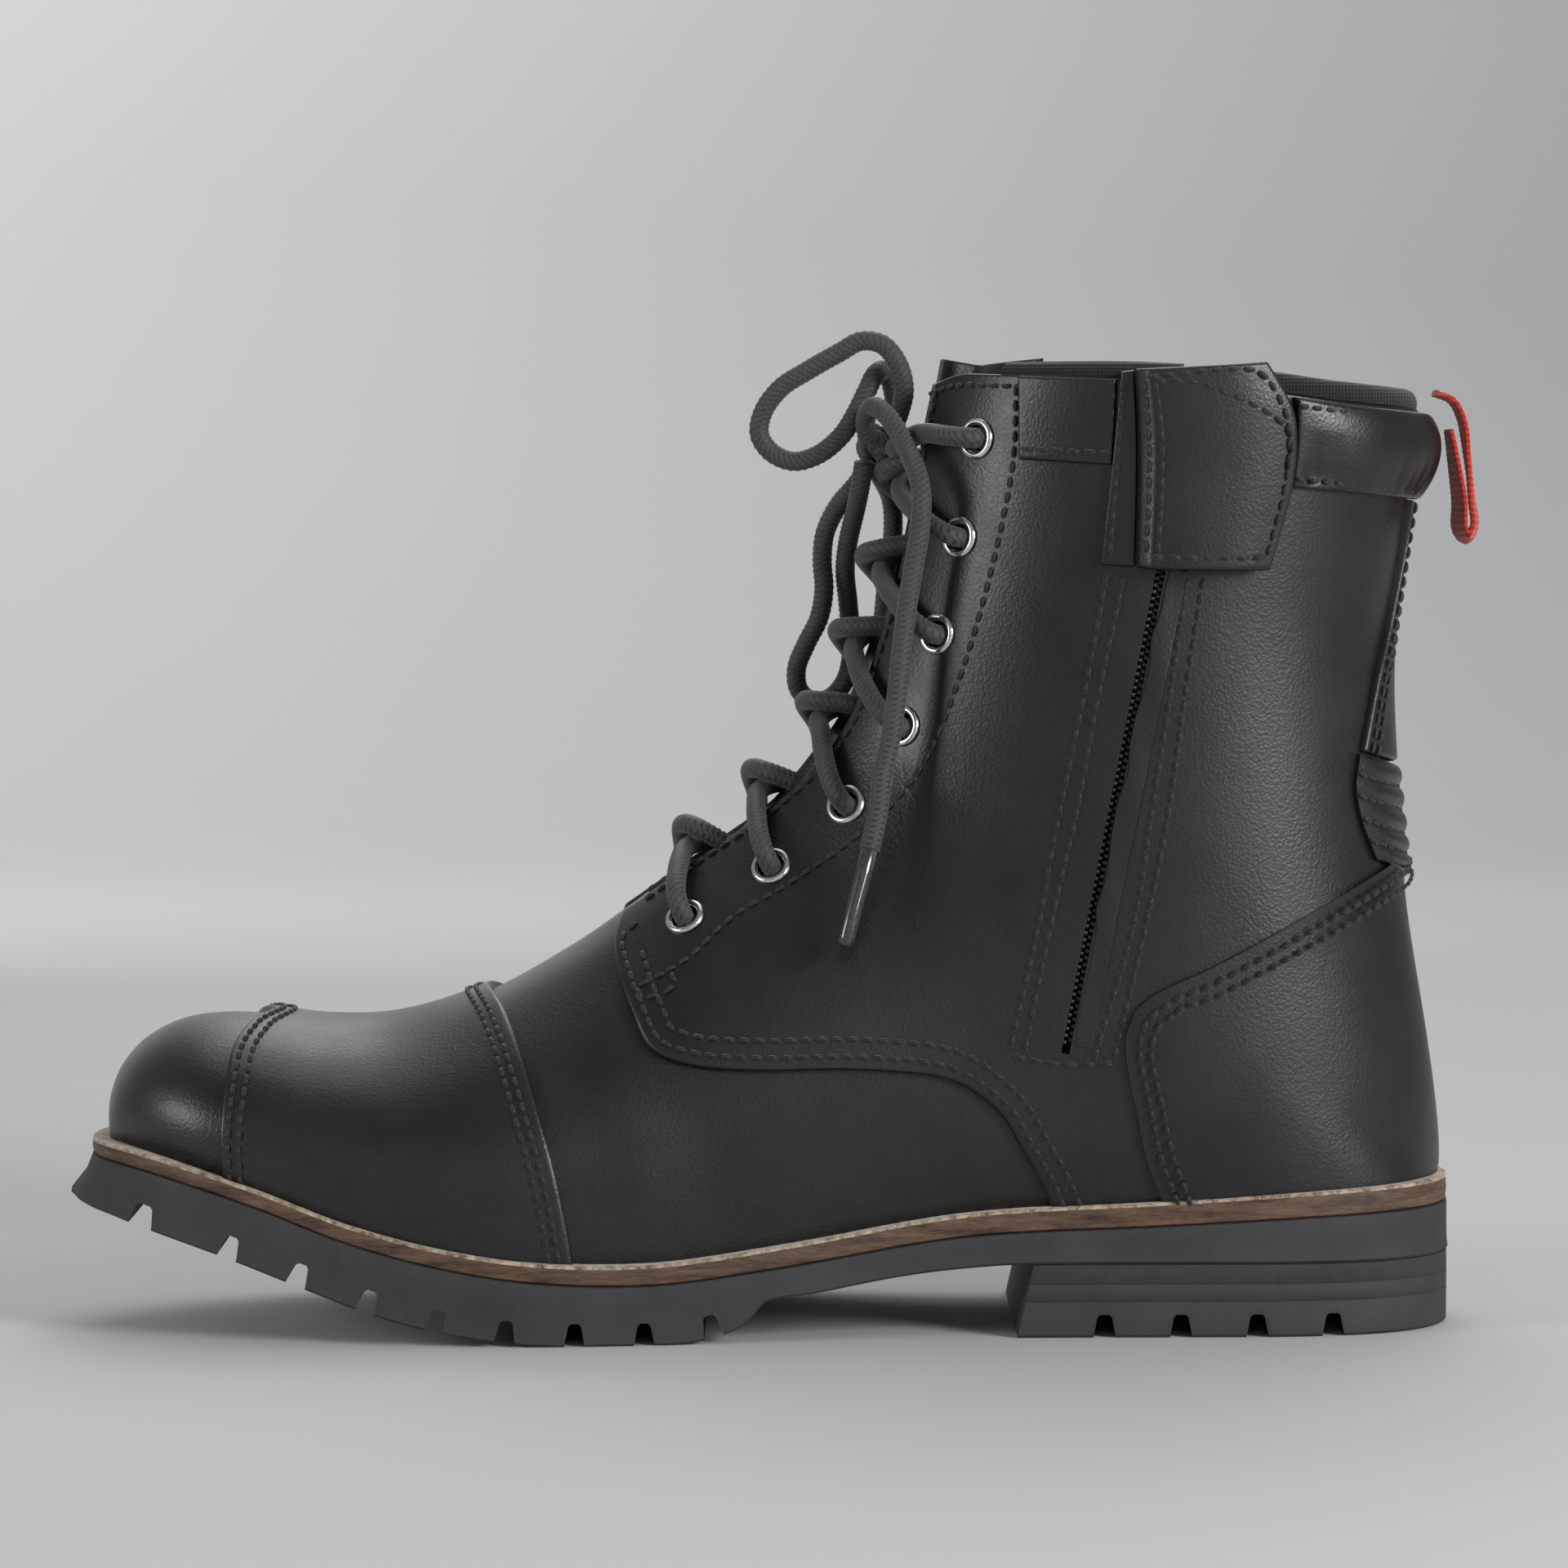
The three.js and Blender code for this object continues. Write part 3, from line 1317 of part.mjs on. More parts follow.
function aglet(name, side) {
  const hang = END_HANG[name];
  const top = hungAt(hang[hang.length - 1], side, HANG_DEPTH);
  const tip = hungAt(AGLET_TIP[name], side, HANG_DEPTH - 1.5);
  const run = tip.clone().sub(top).normalize();
  return cord([top.addScaledVector(run, GAP), tip], 2, 8, AGLET);
}

// ---------------------------------------------------------------- eyelets
function eyelet(side, [t, s]) {
  const low = BACKED[0] - GAP / 2;
  const seat = OVER[1] + GAP;
  const profile = [
    [EYELET_BORE, low],
    [EYELET_BARREL, low],
    [EYELET_BARREL, seat],
    [EYELET_BARREL + EYELET_FLANGE, seat],
    [EYELET_BARREL + EYELET_FLANGE * 0.7, seat + 0.7],
    [EYELET_BORE, seat + 0.5],
    [EYELET_BORE, low],
  ].map(([r, h]) => new THREE.Vector2(r, h));
  return standOn(new THREE.LatheGeometry(profile, 10), t, side * s);
}

// ---------------------------------------------------------------- materials
const finish = (color, roughness, metalness = 0) =>
  new THREE.MeshStandardMaterial({ color, roughness, metalness });
const leather = finish(0x2c2b2a, 0.45);
const lining = finish(0x1d1d1f, 0.9);
const rubber = finish(0x35373a, 0.85);
const welt = finish(0x6b4630, 0.6);
const board = finish(0x8d7a5d, 0.9);
const steel = finish(0x9a9da0, 0.3, 1);
const nickel = finish(0xcfcfcc, 0.15, 1);
const textile = finish(0x141414, 0.95);
const webbing = finish(0xc8372b, 0.8);
const laceCloth = finish(0x1c1c1c, 0.9);
const clear = finish(0x2a2a2c, 0.2);

// ---------------------------------------------------------------- the boot
const boot = new THREE.Group();
const FAIRING = 0.08; // faces flatter than this are merged

function add(name, geometry, material) {
  const mesh = new THREE.Mesh(toGeometry(toSolid(geometry).simplify(FAIRING)), material);
  mesh.name = name;
  boot.add(mesh);
}

add("outsole", outsole(), rubber);
add("heel_block", heelBlock(), rubber);
add("midsole", solePlate({ top: seatLine, bottom: midsoleBottom, growTop: 0 }), welt);
add("shank", shank(), steel);
const boardTop = (x) => boardBase(x) + INSOLE_BOARD;
const boardEnds = { from: 0.03, to: 0.965, steps: 26 };
const boardPlate = { top: boardTop, bottom: boardBase, growTop: INSIDE, ...boardEnds };
add("insole_board", solePlate(boardPlate), board);
add(
  "footbed",
  solePlate({
    top: (x) => boardTop(x) + GAP + FOOTBED,
    bottom: (x) => boardTop(x) + GAP,
    growTop: INSIDE,
    ...boardEnds,
  }),
  lining,
);
add("toe_cap", toeCap(), leather);
add("toe_puff", toePuff(), board);
add("shift_pad", shiftPad(), leather);
add("vamp", vamp(), leather);
add("vamp_lining", vampLining(), lining);
add("tongue", tongue(), leather);
for (const [name, side] of [["medial", 1], ["lateral", -1]]) {
  add(`quarter_${name}`, quarter(side), leather);
  add(`eyelet_facing_${name}`, facing(side), leather);
  add(`lining_${name}`, quarterLining(side), lining);
  EYELET_PLACES.forEach((place, i) => add(`eyelet_${name}_${i + 1}`, eyelet(side, place), nickel));
}
add("heel_counter", heelCounter(), leather);
add("heel_stiffener", heelStiffener(), board);
add("back_strip", backStrip(), leather);
add("flex_panel", flexPanel(), leather);
add("collar_front", collarFront(), leather);
add("collar_rear", collarRear(), leather);
add("rim_binding_front", rimBindingFront(), textile);
add("rim_binding_rear", rimBindingRear(), textile);
add("zip_tape_front", zipTape(-1), textile);
add("zip_tape_rear", zipTape(1), textile);
add("zip_coil_front", zipCoil(-1), textile);
add("zip_coil_rear", zipCoil(1), textile);
add("zip_slider", zipSlider(), nickel);
add("zip_pull", zipPull(), nickel);
add("tab_anchor", tabAnchor(), leather);
add("tab_flap", tabFlap(), leather);
add("tab_hook_patch", hookPatch(), textile);
add("tab_loop_patch", loopPatch(), textile);
add("heel_pull", pullLoop(), webbing);
add("lace_inner", cord(lacePoints(1), 1), laceCloth);
add("lace_outer", cord(lacePoints(-1), 1), laceCloth);
add("lace_knot", laceKnot(), laceCloth);
add("lace_loop_high", cord(looped(LOOP_HIGH), 2, 7), laceCloth);
add("lace_loop_low", cord(looped(LOOP_LOW), 2, 7), laceCloth);
for (const [name, side] of [["medial", 1], ["lateral", -1]]) {
  add(`lace_end_${name}`, laceEnd(name, side), laceCloth);
  add(`aglet_${name}`, aglet(name, side), clear);
}

// The origin is the middle of the boot on the floor, measured without the laces.
const body = new THREE.Box3();
for (const mesh of boot.children) {
  if (!/^(lace|aglet)/.test(mesh.name)) body.expandByObject(mesh);
}
const middle = body.getCenter(new THREE.Vector3());
boot.position.set(-middle.x, -middle.y, -body.min.z);
const part = new THREE.Group();
part.add(boot);

export default part;
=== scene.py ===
# A right-foot lace-up leather boot with a side zip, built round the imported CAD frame.
# Sizes are in millimetres until a piece is made, and a piece's mesh is in metres.
import math

import bmesh
import bpy
import numpy as np
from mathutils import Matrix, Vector


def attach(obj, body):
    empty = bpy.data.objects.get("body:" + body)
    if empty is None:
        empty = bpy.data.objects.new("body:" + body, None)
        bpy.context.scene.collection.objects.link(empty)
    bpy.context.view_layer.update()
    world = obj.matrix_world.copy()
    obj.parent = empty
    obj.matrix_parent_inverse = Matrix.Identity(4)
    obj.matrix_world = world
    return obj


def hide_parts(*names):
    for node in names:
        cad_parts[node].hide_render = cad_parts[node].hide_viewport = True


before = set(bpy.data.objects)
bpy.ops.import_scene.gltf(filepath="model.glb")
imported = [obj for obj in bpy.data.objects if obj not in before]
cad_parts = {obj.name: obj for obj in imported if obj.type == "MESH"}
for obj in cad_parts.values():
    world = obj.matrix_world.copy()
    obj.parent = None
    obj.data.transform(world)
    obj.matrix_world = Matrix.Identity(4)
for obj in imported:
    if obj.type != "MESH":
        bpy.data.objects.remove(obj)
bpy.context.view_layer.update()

# ---------------------------------------------------------------- the last
# The wooden foot that the boot is pulled over. It isn't part of the boot, but every panel,
# seam and lace is placed on it, by t from toe to rim and s round each section.
# Columns: top x, top z, foot x, foot z, half width, half width at the foot, shift, widest.
LAST = np.array([
    [-146.8, 45.0, -146.8, 45.0, 0.0, 0.0, -8.0, 0.6],
    [-146.4, 50.5, -145.6, 37.9, 9.5, 8.0, -8.0, 0.64],
    [-143.8, 57.0, -141.5, 37.7, 18.5, 17.0, -7.6, 0.66],
    [-138.2, 63.0, -134.0, 36.3, 28.0, 26.0, -7.0, 0.68],
    [-129.0, 67.1, -123.5, 33.4, 36.0, 34.0, -6.0, 0.7],
    [-116.0, 67.8, -110.0, 29.6, 42.0, 40.0, -4.5, 0.7],
    [-99.0, 65.6, -92.0, 23.0, 46.5, 45.0, -2.8, 0.7],
    [-82.5, 66.2, -73.0, 17.9, 49.5, 48.5, -1.0, 0.7],
    [-64.0, 72.0, -52.0, 14.5, 50.5, 49.5, 0.0, 0.7],
    [-46.0, 81.8, -26.0, 14.0, 49.0, 47.0, 1.0, 0.68],
    [-32.5, 91.0, 2.0, 17.4, 46.0, 42.0, 1.5, 0.66],
    [-18.0, 101.8, 40.0, 23.6, 42.5, 36.0, 1.0, 0.63],
    [-5.0, 111.8, 83.0, 26.0, 39.5, 33.0, 0.5, 0.62],
    [4.0, 120.6, 115.0, 28.0, 38.8, 31.0, 0.0, 0.58],
    [9.5, 127.5, 132.0, 29.0, 38.9, 24.5, 0.0, 0.55],
    [12.6, 132.2, 140.0, 29.5, 38.9, 14.0, 0.0, 0.53],
    [15.0, 136.8, 143.4, 30.0, 38.9, 0.0, 0.0, 0.52],
    [17.0, 141.0, 143.8, 42.0, 38.9, 0.0, 0.0, 0.51],
    [19.6, 147.0, 142.4, 60.0, 39.0, 0.0, 0.0, 0.5],
    [22.0, 153.0, 139.0, 82.0, 39.2, 0.0, 0.0, 0.5],
    [24.5, 159.5, 135.8, 104.0, 39.5, 0.0, 0.0, 0.5],
    [27.0, 167.5, 133.4, 128.0, 39.9, 0.0, 0.0, 0.5],
    [29.2, 176.5, 133.2, 150.0, 40.3, 0.0, 0.0, 0.5],
    [31.0, 186.0, 136.0, 172.0, 40.8, 0.0, 0.0, 0.5],
    [32.6, 196.0, 138.8, 190.0, 41.3, 0.0, 0.0, 0.5],
    [34.6, 205.5, 140.0, 203.0, 41.9, 0.0, 0.0, 0.5],
    [36.4, 213.5, 140.5, 216.0, 42.3, 0.0, 0.0, 0.5],
])
LAST_END = len(LAST) - 1.0
ORIGIN = np.array([0.151, 0.137, 0.0])  # from the last's own origin to the frame's


def last_rows(t):
    """The eight columns at places t: a cubic through four neighbouring rows."""
    t = np.clip(np.asarray(t, float), 0, LAST_END)
    i = np.minimum(np.floor(t).astype(int), len(LAST) - 2)
    f = (t - i)[..., None]
    a, b, c, d = (LAST[np.clip(i + k, 0, len(LAST) - 1)] for k in (-1, 0, 1, 2))
    m, n = (c - a) / 2, (d - b) / 2
    return b + f * (m + f * (3 * (c - b) - 2 * m - n + f * (2 * b - 2 * c + m + n)))


def last_point(t, s):
    """Top to foot by half a cosine of s; half an ellipse above the widest place, fuller below."""
    top_x, top_z, foot_x, foot_z, wide, foot, shift, widest = np.moveaxis(last_rows(t), -1, 0)
    share = (1 - np.cos(np.pi * s)) / 2
    side = np.where(np.sin(np.pi * s) < 0, 1, -1)
    upper = wide * np.sqrt(np.clip(1 - (1 - share / widest) ** 2, 0, None))
    u = np.clip((share - widest) / (1 - widest), 0, 1)
    fullness = 0.5 + 0.5 * np.clip(foot / np.maximum(wide, 1), 0, 1)
    lower = foot + (wide - foot) * np.clip(1 - u * u, 0, None) ** fullness
    half = np.where(share < widest, upper, lower)
    x = top_x + (foot_x - top_x) * share
    z = top_z + (foot_z - top_z) * share
    return np.stack([x, shift + side * half, z], -1)


def last_normal(t, s):
    """Cross product of a small step round the section and a small step along the last."""
    t, s = np.broadcast_arrays(np.asarray(t, float), np.asarray(s, float))
    low, high = s - 0.012, s + 0.012
    open_foot = last_rows(t)[..., 5] > 0.5
    low = np.where(open_foot & (s > 1), np.maximum(low, 1.001), low)
    high = np.where(open_foot & (s <= 1), np.minimum(high, 0.999), high)
    low = np.where(open_foot & (s < 0), np.maximum(low, -0.999), low)
    low = np.minimum(low, high - 0.012)
    high = np.maximum(high, low + 0.012)
    held = np.clip(s, low, high)
    around = last_point(t, high) - last_point(t, low)
    along = last_point(np.minimum(t + 0.05, LAST_END), held) - last_point(t - 0.05, held)
    normal = np.cross(around, along)
    normal /= np.maximum(np.linalg.norm(normal, axis=-1, keepdims=True), 1e-9)
    normal[t < 0.05] = (-1, 0, 0)
    return normal


def on_last(t, s, depth=0.0):
    """The last's surface moved outwards by depth, in the frame's own position."""
    depth = np.asarray(depth, float)[..., None]
    return last_point(t, s) + last_normal(t, s) * depth + ORIGIN


def locate(points):
    """The places (t, s) on the zip side that a side view shows at x, z."""
    x, z = np.asarray(points, float).T
    t = np.arange(0.02, LAST_END, 0.01)
    top_x, top_z, foot_x, foot_z = last_rows(t)[:, :4].T
    side = (foot_x - top_x) * (z[:, None] - top_z) - (foot_z - top_z) * (x[:, None] - top_x)
    crossed = side <= 0
    first = np.where(crossed.any(1), crossed.argmax(1), len(t) - 1)
    before = np.maximum(first - 1, 0)
    row = np.arange(len(x))
    a, b = side[row, before], side[row, first]
    at = t[before] + 0.01 * np.clip(a / np.where(a == b, 1, a - b), 0, 1)
    top_x, top_z, foot_x, foot_z = last_rows(at)[:, :4].T
    run = (foot_x - top_x) ** 2 + (foot_z - top_z) ** 2
    share = ((x - top_x) * (foot_x - top_x) + (z - top_z) * (foot_z - top_z)) / run
    return np.stack([at, np.arccos(1 - 2 * np.clip(share, 0, 1)) / np.pi], -1)


def smooth_line(points, at, dense=24):
    """A centripetal cubic through the points, read at shares of its whole length."""
    p = np.asarray(points, float)
    p = np.vstack([2 * p[0] - p[1], p, 2 * p[-1] - p[-2]])
    step = np.diff(p, axis=0)
    dt = np.sqrt(np.maximum(np.linalg.norm(step, axis=1), 1e-6))[:, None]
    d0, d1 = step[:-1] / dt[:-1], step[1:] / dt[1:]
    tangent = d0 - (step[:-1] + step[1:]) / (dt[:-1] + dt[1:]) + d1
    f = (np.arange(dense) / dense)[None, :, None]
    a, b = p[1:-2, None], p[2:-1, None]
    m, n = tangent[:-1, None] * dt[1:-1, None], tangent[1:, None] * dt[1:-1, None]
    line = a + f * (m + f * (3 * (b - a) - 2 * m - n + f * (2 * a - 2 * b + m + n)))
    line = np.vstack([line.reshape(-1, p.shape[1]), p[-2]])
    length = np.concatenate([[0], np.cumsum(np.linalg.norm(np.diff(line, axis=0), axis=1))])
    want = np.asarray(at, float) * length[-1]
    return np.stack([np.interp(want, length, column) for column in line.T], -1)


SECTION_MM, TURN_MM = 9.0, 90.0  # roughly one step of t and one turn of s


def seam(places):
    """A function of shares of length that gives the places along a seam."""
    scaled = np.asarray(places, float) * (SECTION_MM, TURN_MM)
    return lambda at: smooth_line(scaled, at) / (SECTION_MM, TURN_MM)


def line_length(points):
    return float(np.linalg.norm(np.diff(points, axis=0), axis=1).sum())


# ---------------------------------------------------------------- studio
# A pale sweep that is floor and backdrop in one, three soft boxes and a long lens.
# None of it belongs to the boot.
CAMERA_AT = (0.00215, -1.49986, 0.1946)
CAMERA_AIM = (0.00215, 0.0, 0.1182)
LENS = 155.7


def aim_at(thing, spot):
    """Turns a camera or light so that it looks at a spot."""
    thing.rotation_euler = (Vector(spot) - thing.location).to_track_quat("-Z", "Y").to_euler()


camera = bpy.data.objects.new("camera", bpy.data.cameras.new("camera"))
camera.location = CAMERA_AT
camera.data.lens = LENS
camera.data.sensor_width = 36
camera.data.clip_start = 0.01
aim_at(camera, CAMERA_AIM)
bpy.context.scene.collection.objects.link(camera)
bpy.context.scene.camera = camera


def soft_box(name, place, spot, size, watts):
    """A square area light that looks at a spot."""
    light = bpy.data.objects.new(name, bpy.data.lights.new(name, "AREA"))
    light.data.size = size
    light.data.energy = watts
    light.location = place
    aim_at(light, spot)
    bpy.context.scene.collection.objects.link(light)


soft_box("light_left", (-1.5, -0.7, 0.5), (-0.05, 0, 0.08), 0.6, 9)
soft_box("light_right", (1.15, -1.0, 0.6), (0.05, 0, 0.1), 0.6, 19)
soft_box("light_top", (0.1, 0.6, 1.6), (0, 0, 0.05), 1.3, 6)
soft_box("light_front", (0.1, -2.0, 0.7), (0, 0, 0.1), 1.2, 1.5)
soft_box("light_back", (0.2, 1.4, 1.3), (0, 0, 0.1), 1.0, 6)
soft_box("light_wall", (-0.9, 1.0, 1.0), (-1.1, 2.5, 0.7), 1.2, 11)

world = bpy.data.worlds.new("studio")
world.use_nodes = True
world.node_tree.nodes["Background"].inputs["Color"].default_value = (0.86, 0.88, 0.9, 1)
world.node_tree.nodes["Background"].inputs["Strength"].default_value = 0.28
bpy.context.scene.world = world
bpy.context.scene.view_settings.view_transform = "Standard"


class Wire:
    """One shader socket. Arithmetic on wires adds Math nodes."""

    def __init__(self, tree, socket):
        self.tree, self.socket = tree, socket

    def node(self, kind, settings, values, out=0):
        """Adds a node: its settings are set first, then the values or links of its sockets."""
        made = self.tree.nodes.new(kind)
        for key, value in settings.items():
            if key == "stops":
                ramp = made.color_ramp
                while len(ramp.elements) < len(value):
                    ramp.elements.new(1.0)
                for element, (place, colour) in zip(ramp.elements, value):
                    element.position, element.color = place, (*colour, 1)
            else:
                setattr(made, key, value)
        for key, value in values.items():
            if isinstance(value, Wire):
                self.tree.links.new(value.socket, made.inputs[key])
            else:
                made.inputs[key].default_value = value
        return Wire(self.tree, made.outputs[out])

    def math(self, operation, first, second):
        return self.node("ShaderNodeMath", {"operation": operation}, {0: first, 1: second})

    def __add__(self, other):
        return self.math("ADD", self, other)

    __radd__ = __add__

    def __mul__(self, other):
        return self.math("MULTIPLY", self, other)

    __rmul__ = __mul__

    def __sub__(self, other):
        return self.math("SUBTRACT", self, other)

    def __rsub__(self, other):
        return self.math("SUBTRACT", other, self)

    def noise(self, scale, detail=2.0, roughness=0.5):
        """Fractal noise read at this wire, taken as a place."""
        values = {"Vector": self, "Scale": scale, "Detail": detail, "Roughness": roughness}
        return self.node("ShaderNodeTexNoise", {}, values)

    def between(self, low, high):
        """This wire stretched so that low becomes 0 and high becomes 1."""
        values = {"Value": self, "From Min": low, "From Max": high}
        return self.node("ShaderNodeMapRange", {"clamp": True}, values)

    def colour(self, *stops):
        """A colour ramp read at this wire."""
        return self.node("ShaderNodeValToRGB", {"stops": stops}, {"Fac": self})

    def bump(self, strength, distance, under=None):
        """A bump of this height."""
        values = {"Height": self, "Strength": strength, "Distance": distance}
        if under is not None:
            values["Normal"] = under
        return self.node("ShaderNodeBump", {}, values)


def surface(name, place="Object", **fixed):
    """A material with fixed shader values; returns it, its shader and its coordinates."""
    material = bpy.data.materials.new(name)
    material.use_nodes = True
    tree = material.node_tree
    shader = tree.nodes["Principled BSDF"]
    for key, value in fixed.items():
        shader.inputs[key.replace("_", " ")].default_value = value
    return material, shader, Wire(tree, tree.nodes.new("ShaderNodeTexCoord").outputs[place])


def feed(shader, **wires):
    """Links wires to the shader's sockets."""
    for key, wire in wires.items():
        wire.tree.links.new(wire.socket, shader.inputs[key.replace("_", " ")])


paper, paper_shader, spot = surface("sweep_paper", Roughness=0.75, Specular_IOR_Level=0.2)
# Painted light: the paper's colour is made lighter to the left and higher up the wall, standing in for the fall of the
# studio light across the sweep.
left_to_right = spot.node("ShaderNodeSeparateXYZ", {}, {0: spot}, 0).between(0.7, -0.7)
up_the_wall = spot.node("ShaderNodeSeparateXYZ", {}, {0: spot}, 2).between(0.02, 0.7)
painted_light_falloff = left_to_right * up_the_wall + 0.05 * spot.noise(3, 3)
feed(paper_shader, Base_Color=painted_light_falloff.colour((0.0, (0.58, 0.58, 0.585)), (1.0, (0.97, 0.97, 0.975))))


def grid_faces(rows, columns, wrap=False):
    """Quads of a grid of points, as rows of indices; wrap joins its last column to its first."""
    index = np.arange(rows * columns).reshape(rows, columns)
    if wrap:
        index = np.hstack([index, index[:, :1]])
    a, b, c, d = index[:-1, :-1], index[:-1, 1:], index[1:, 1:], index[1:, :-1]
    return np.stack([a, b, c, d], -1).reshape(-1, 4)


def piece(name, points, faces, material, body=None, stands_for=(), crease=40, closed=True):
    """Makes a mesh from points in millimetres and puts it on a CAD body."""
    mesh = bpy.data.meshes.new(name)
    mesh.from_pydata((np.asarray(points) * 0.001).tolist(), [], [list(face) for face in faces])
    if closed:
        shell = bmesh.new()
        shell.from_mesh(mesh)
        bmesh.ops.recalc_face_normals(shell, faces=shell.faces)
        shell.to_mesh(mesh)
        shell.free()
    mesh.shade_smooth()
    mesh.set_sharp_from_angle(angle=math.radians(crease))
    mesh.materials.append(material)
    made = bpy.data.objects.new(name, mesh)
    bpy.context.scene.collection.objects.link(made)
    if body:
        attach(made, body)
        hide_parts(*stands_for)
    return made


sweep_x = np.linspace(-4000, 4000, 9)
sweep_turn = np.linspace(0, np.pi / 2, 14)
SWEEP_RADIUS = 900
sweep_y = np.concatenate([[-3000, -1000, 0, 1000], 1600 + SWEEP_RADIUS * np.sin(sweep_turn), [2500]])
sweep_z = np.concatenate([[0, 0, 0, 0], SWEEP_RADIUS * (1 - np.cos(sweep_turn)), [4000]]) - 0.05
sweep_grid = np.stack([
    np.broadcast_to(sweep_x, (len(sweep_y), 9)),
    np.broadcast_to(sweep_y[:, None], (len(sweep_y), 9)),
    np.broadcast_to(sweep_z[:, None], (len(sweep_y), 9)),
], -1)
sweep = piece("sweep", sweep_grid.reshape(-1, 3), grid_faces(len(sweep_y), 9), paper, closed=False)

# ---------------------------------------------------------------- eyelets
# Seven nickelled brass eyelets a side: a barrel through the leather, rolled over into a
# domed flange on the outside.
EYELET_LINE = [
    [-18.8, 89], [-0.1, 100.2], [15.9, 113.5], [29.2, 132.4], [36.7, 152.3], [41.6, 173.6],
    [45.2, 194.4],
]
EYELETS = 7
EYELET_BORE = 2.9
LEATHER = 1.8
GAP = 0.3
LACE = 4.5
OVER = (0.3, 2.1)  # depths of the quarters
LACE_BELOW = -1.8 - GAP - LACE / 2
LACE_ABOVE = OVER[1] + GAP + LACE / 2
EYELET_TOP = OVER[1] + GAP + 0.7
eyelet_spots = smooth_line(EYELET_LINE, np.linspace(0, 1, EYELETS))
EYELET_PLACES = locate(eyelet_spots)

nickel, nickel_shader, spot = surface("nickel", Metallic=1.0)
wear = spot.noise(900, 3)
feed(nickel_shader, Base_Color=wear.colour((0.3, (0.62, 0.61, 0.59)), (0.7, (0.78, 0.77, 0.75))))
feed(nickel_shader, Roughness=0.13 + 0.14 * wear, Normal=spot.noise(2600, 2).bump(0.08, 0.0002))


def stand(local, t, s):
    """Points drawn as across, outwards and along, stood on the last at t, s."""
    out = last_normal(t, s)
    across = np.cross(out, (0.0, 0.0, 1.0))
    across /= np.linalg.norm(across)
    return on_last(t, s) + local @ np.stack([across, out, np.cross(out, across)])


def turned(profile, count):
    """A profile of radius and height turned round the outward axis, as a wrapped grid."""
    angle = np.linspace(0, 2 * np.pi, count, endpoint=False)
    radius, height = np.asarray(profile, float).T
    flat = np.ones_like(angle)
    ring = [radius[:, None] * np.cos(angle), height[:, None] * flat, radius[:, None] * np.sin(angle)]
    return np.stack(ring, -1).reshape(-1, 3), grid_faces(len(profile), count, wrap=True)


dome = np.linspace(0, np.pi, 10)
EYELET_PROFILE = [(EYELET_BORE, -1.6), (EYELET_BORE, 2.0)]
EYELET_PROFILE += [(3.72 - 0.83 * math.cos(a), 2.25 + 0.78 * math.sin(a)) for a in dome]
EYELET_PROFILE += [(4.55, 2.12), (3.3, 2.12), (3.3, -1.6), (EYELET_BORE, -1.6)]
eyelet_points, eyelet_faces = turned(EYELET_PROFILE, 40)
for side_name, side in (("medial", 1), ("lateral", -1)):
    for number, (t, s) in enumerate(EYELET_PLACES, 1):
        node = f"eyelet_{side_name}_{number}"
        points = stand(eyelet_points, t, side * s)
        piece(f"{node}_ring", points, eyelet_faces, nickel, "boot", [node], crease=55)

# ---------------------------------------------------------------- laces
# Round black braided cord, threaded up through the eyelets and tied in a bow whose loops
# and ends hang free. Each piece is a tube whose skin rises and falls like the plaits.
CROSS_LOW = -0.3 + GAP + LACE / 2
CROSS_HIGH = CROSS_LOW + LACE + 0.6
EYESTAY_GAP = 0.09
KNOT = np.array([23.7, 0, 193.2])
KNOT_HALF = (6.5, 6.0, 3.5)
PLAIT = 1.3  # from one stitch of the braid to the next
PLAIT_STRANDS = 6  # columns of chevrons round the cord
PLAIT_RISE = 0.3


def crossing(s, next_s, high):
    """From one eyelet to the next: share of the way, turn and depth."""
    middle = [[0.38, 0.05, LACE_ABOVE - 1], [0.5, 0, CROSS_LOW], [0.66, -0.045, 0.4]]
    if high:
        middle = [[0.5, 0, CROSS_HIGH], [0.62, -0.045, CROSS_HIGH - 1.4], [0.76, -0.066, 0.6]]
    return [
        [0.05, s * 0.88, EYELET_TOP + LACE / 2 + 0.8], [0.18, s * 0.64, LACE_ABOVE + 0.9],
        [0.3, EYESTAY_GAP, LACE_ABOVE], *middle,
        [0.85, -EYESTAY_GAP + 0.004, LACE_BELOW - 0.1], [0.94, -(next_s - 0.03), LACE_BELOW],
    ]


def threaded(first_side):
    """The points of one half of the lace, from the bottom eyelet to the knot."""
    t0, s0 = EYELET_PLACES[0]
    rows = [[t0 + 0.22, first_side * (EYESTAY_GAP + 0.05), LACE_BELOW]]
    for i, (t, s) in enumerate(EYELET_PLACES):
        side = -first_side if i % 2 else first_side
        rows += [[t, side * s, LACE_BELOW], [t, side * s, EYELET_TOP + 1.2]]
        if i + 1 < EYELETS:
            next_t, next_s = EYELET_PLACES[i + 1]
            for share, turn, depth in crossing(s, next_s, side < 0):
                rows.append([t + share * (next_t - t), side * turn, depth])
    rows += [[t, side * s * 0.86, EYELET_TOP + LACE / 2 + 0.8], [t, side * s * 0.6, LACE_ABOVE + 1.2]]
    t, s, depth = np.array(rows).T
    knot_side = [[2.8, -side * (KNOT_HALF[1] + 3.4), -0.6], [2.8, -side * (KNOT_HALF[1] + 0.4), -0.7]]
    return np.vstack([on_last(t, s, depth), KNOT + ORIGIN + knot_side])


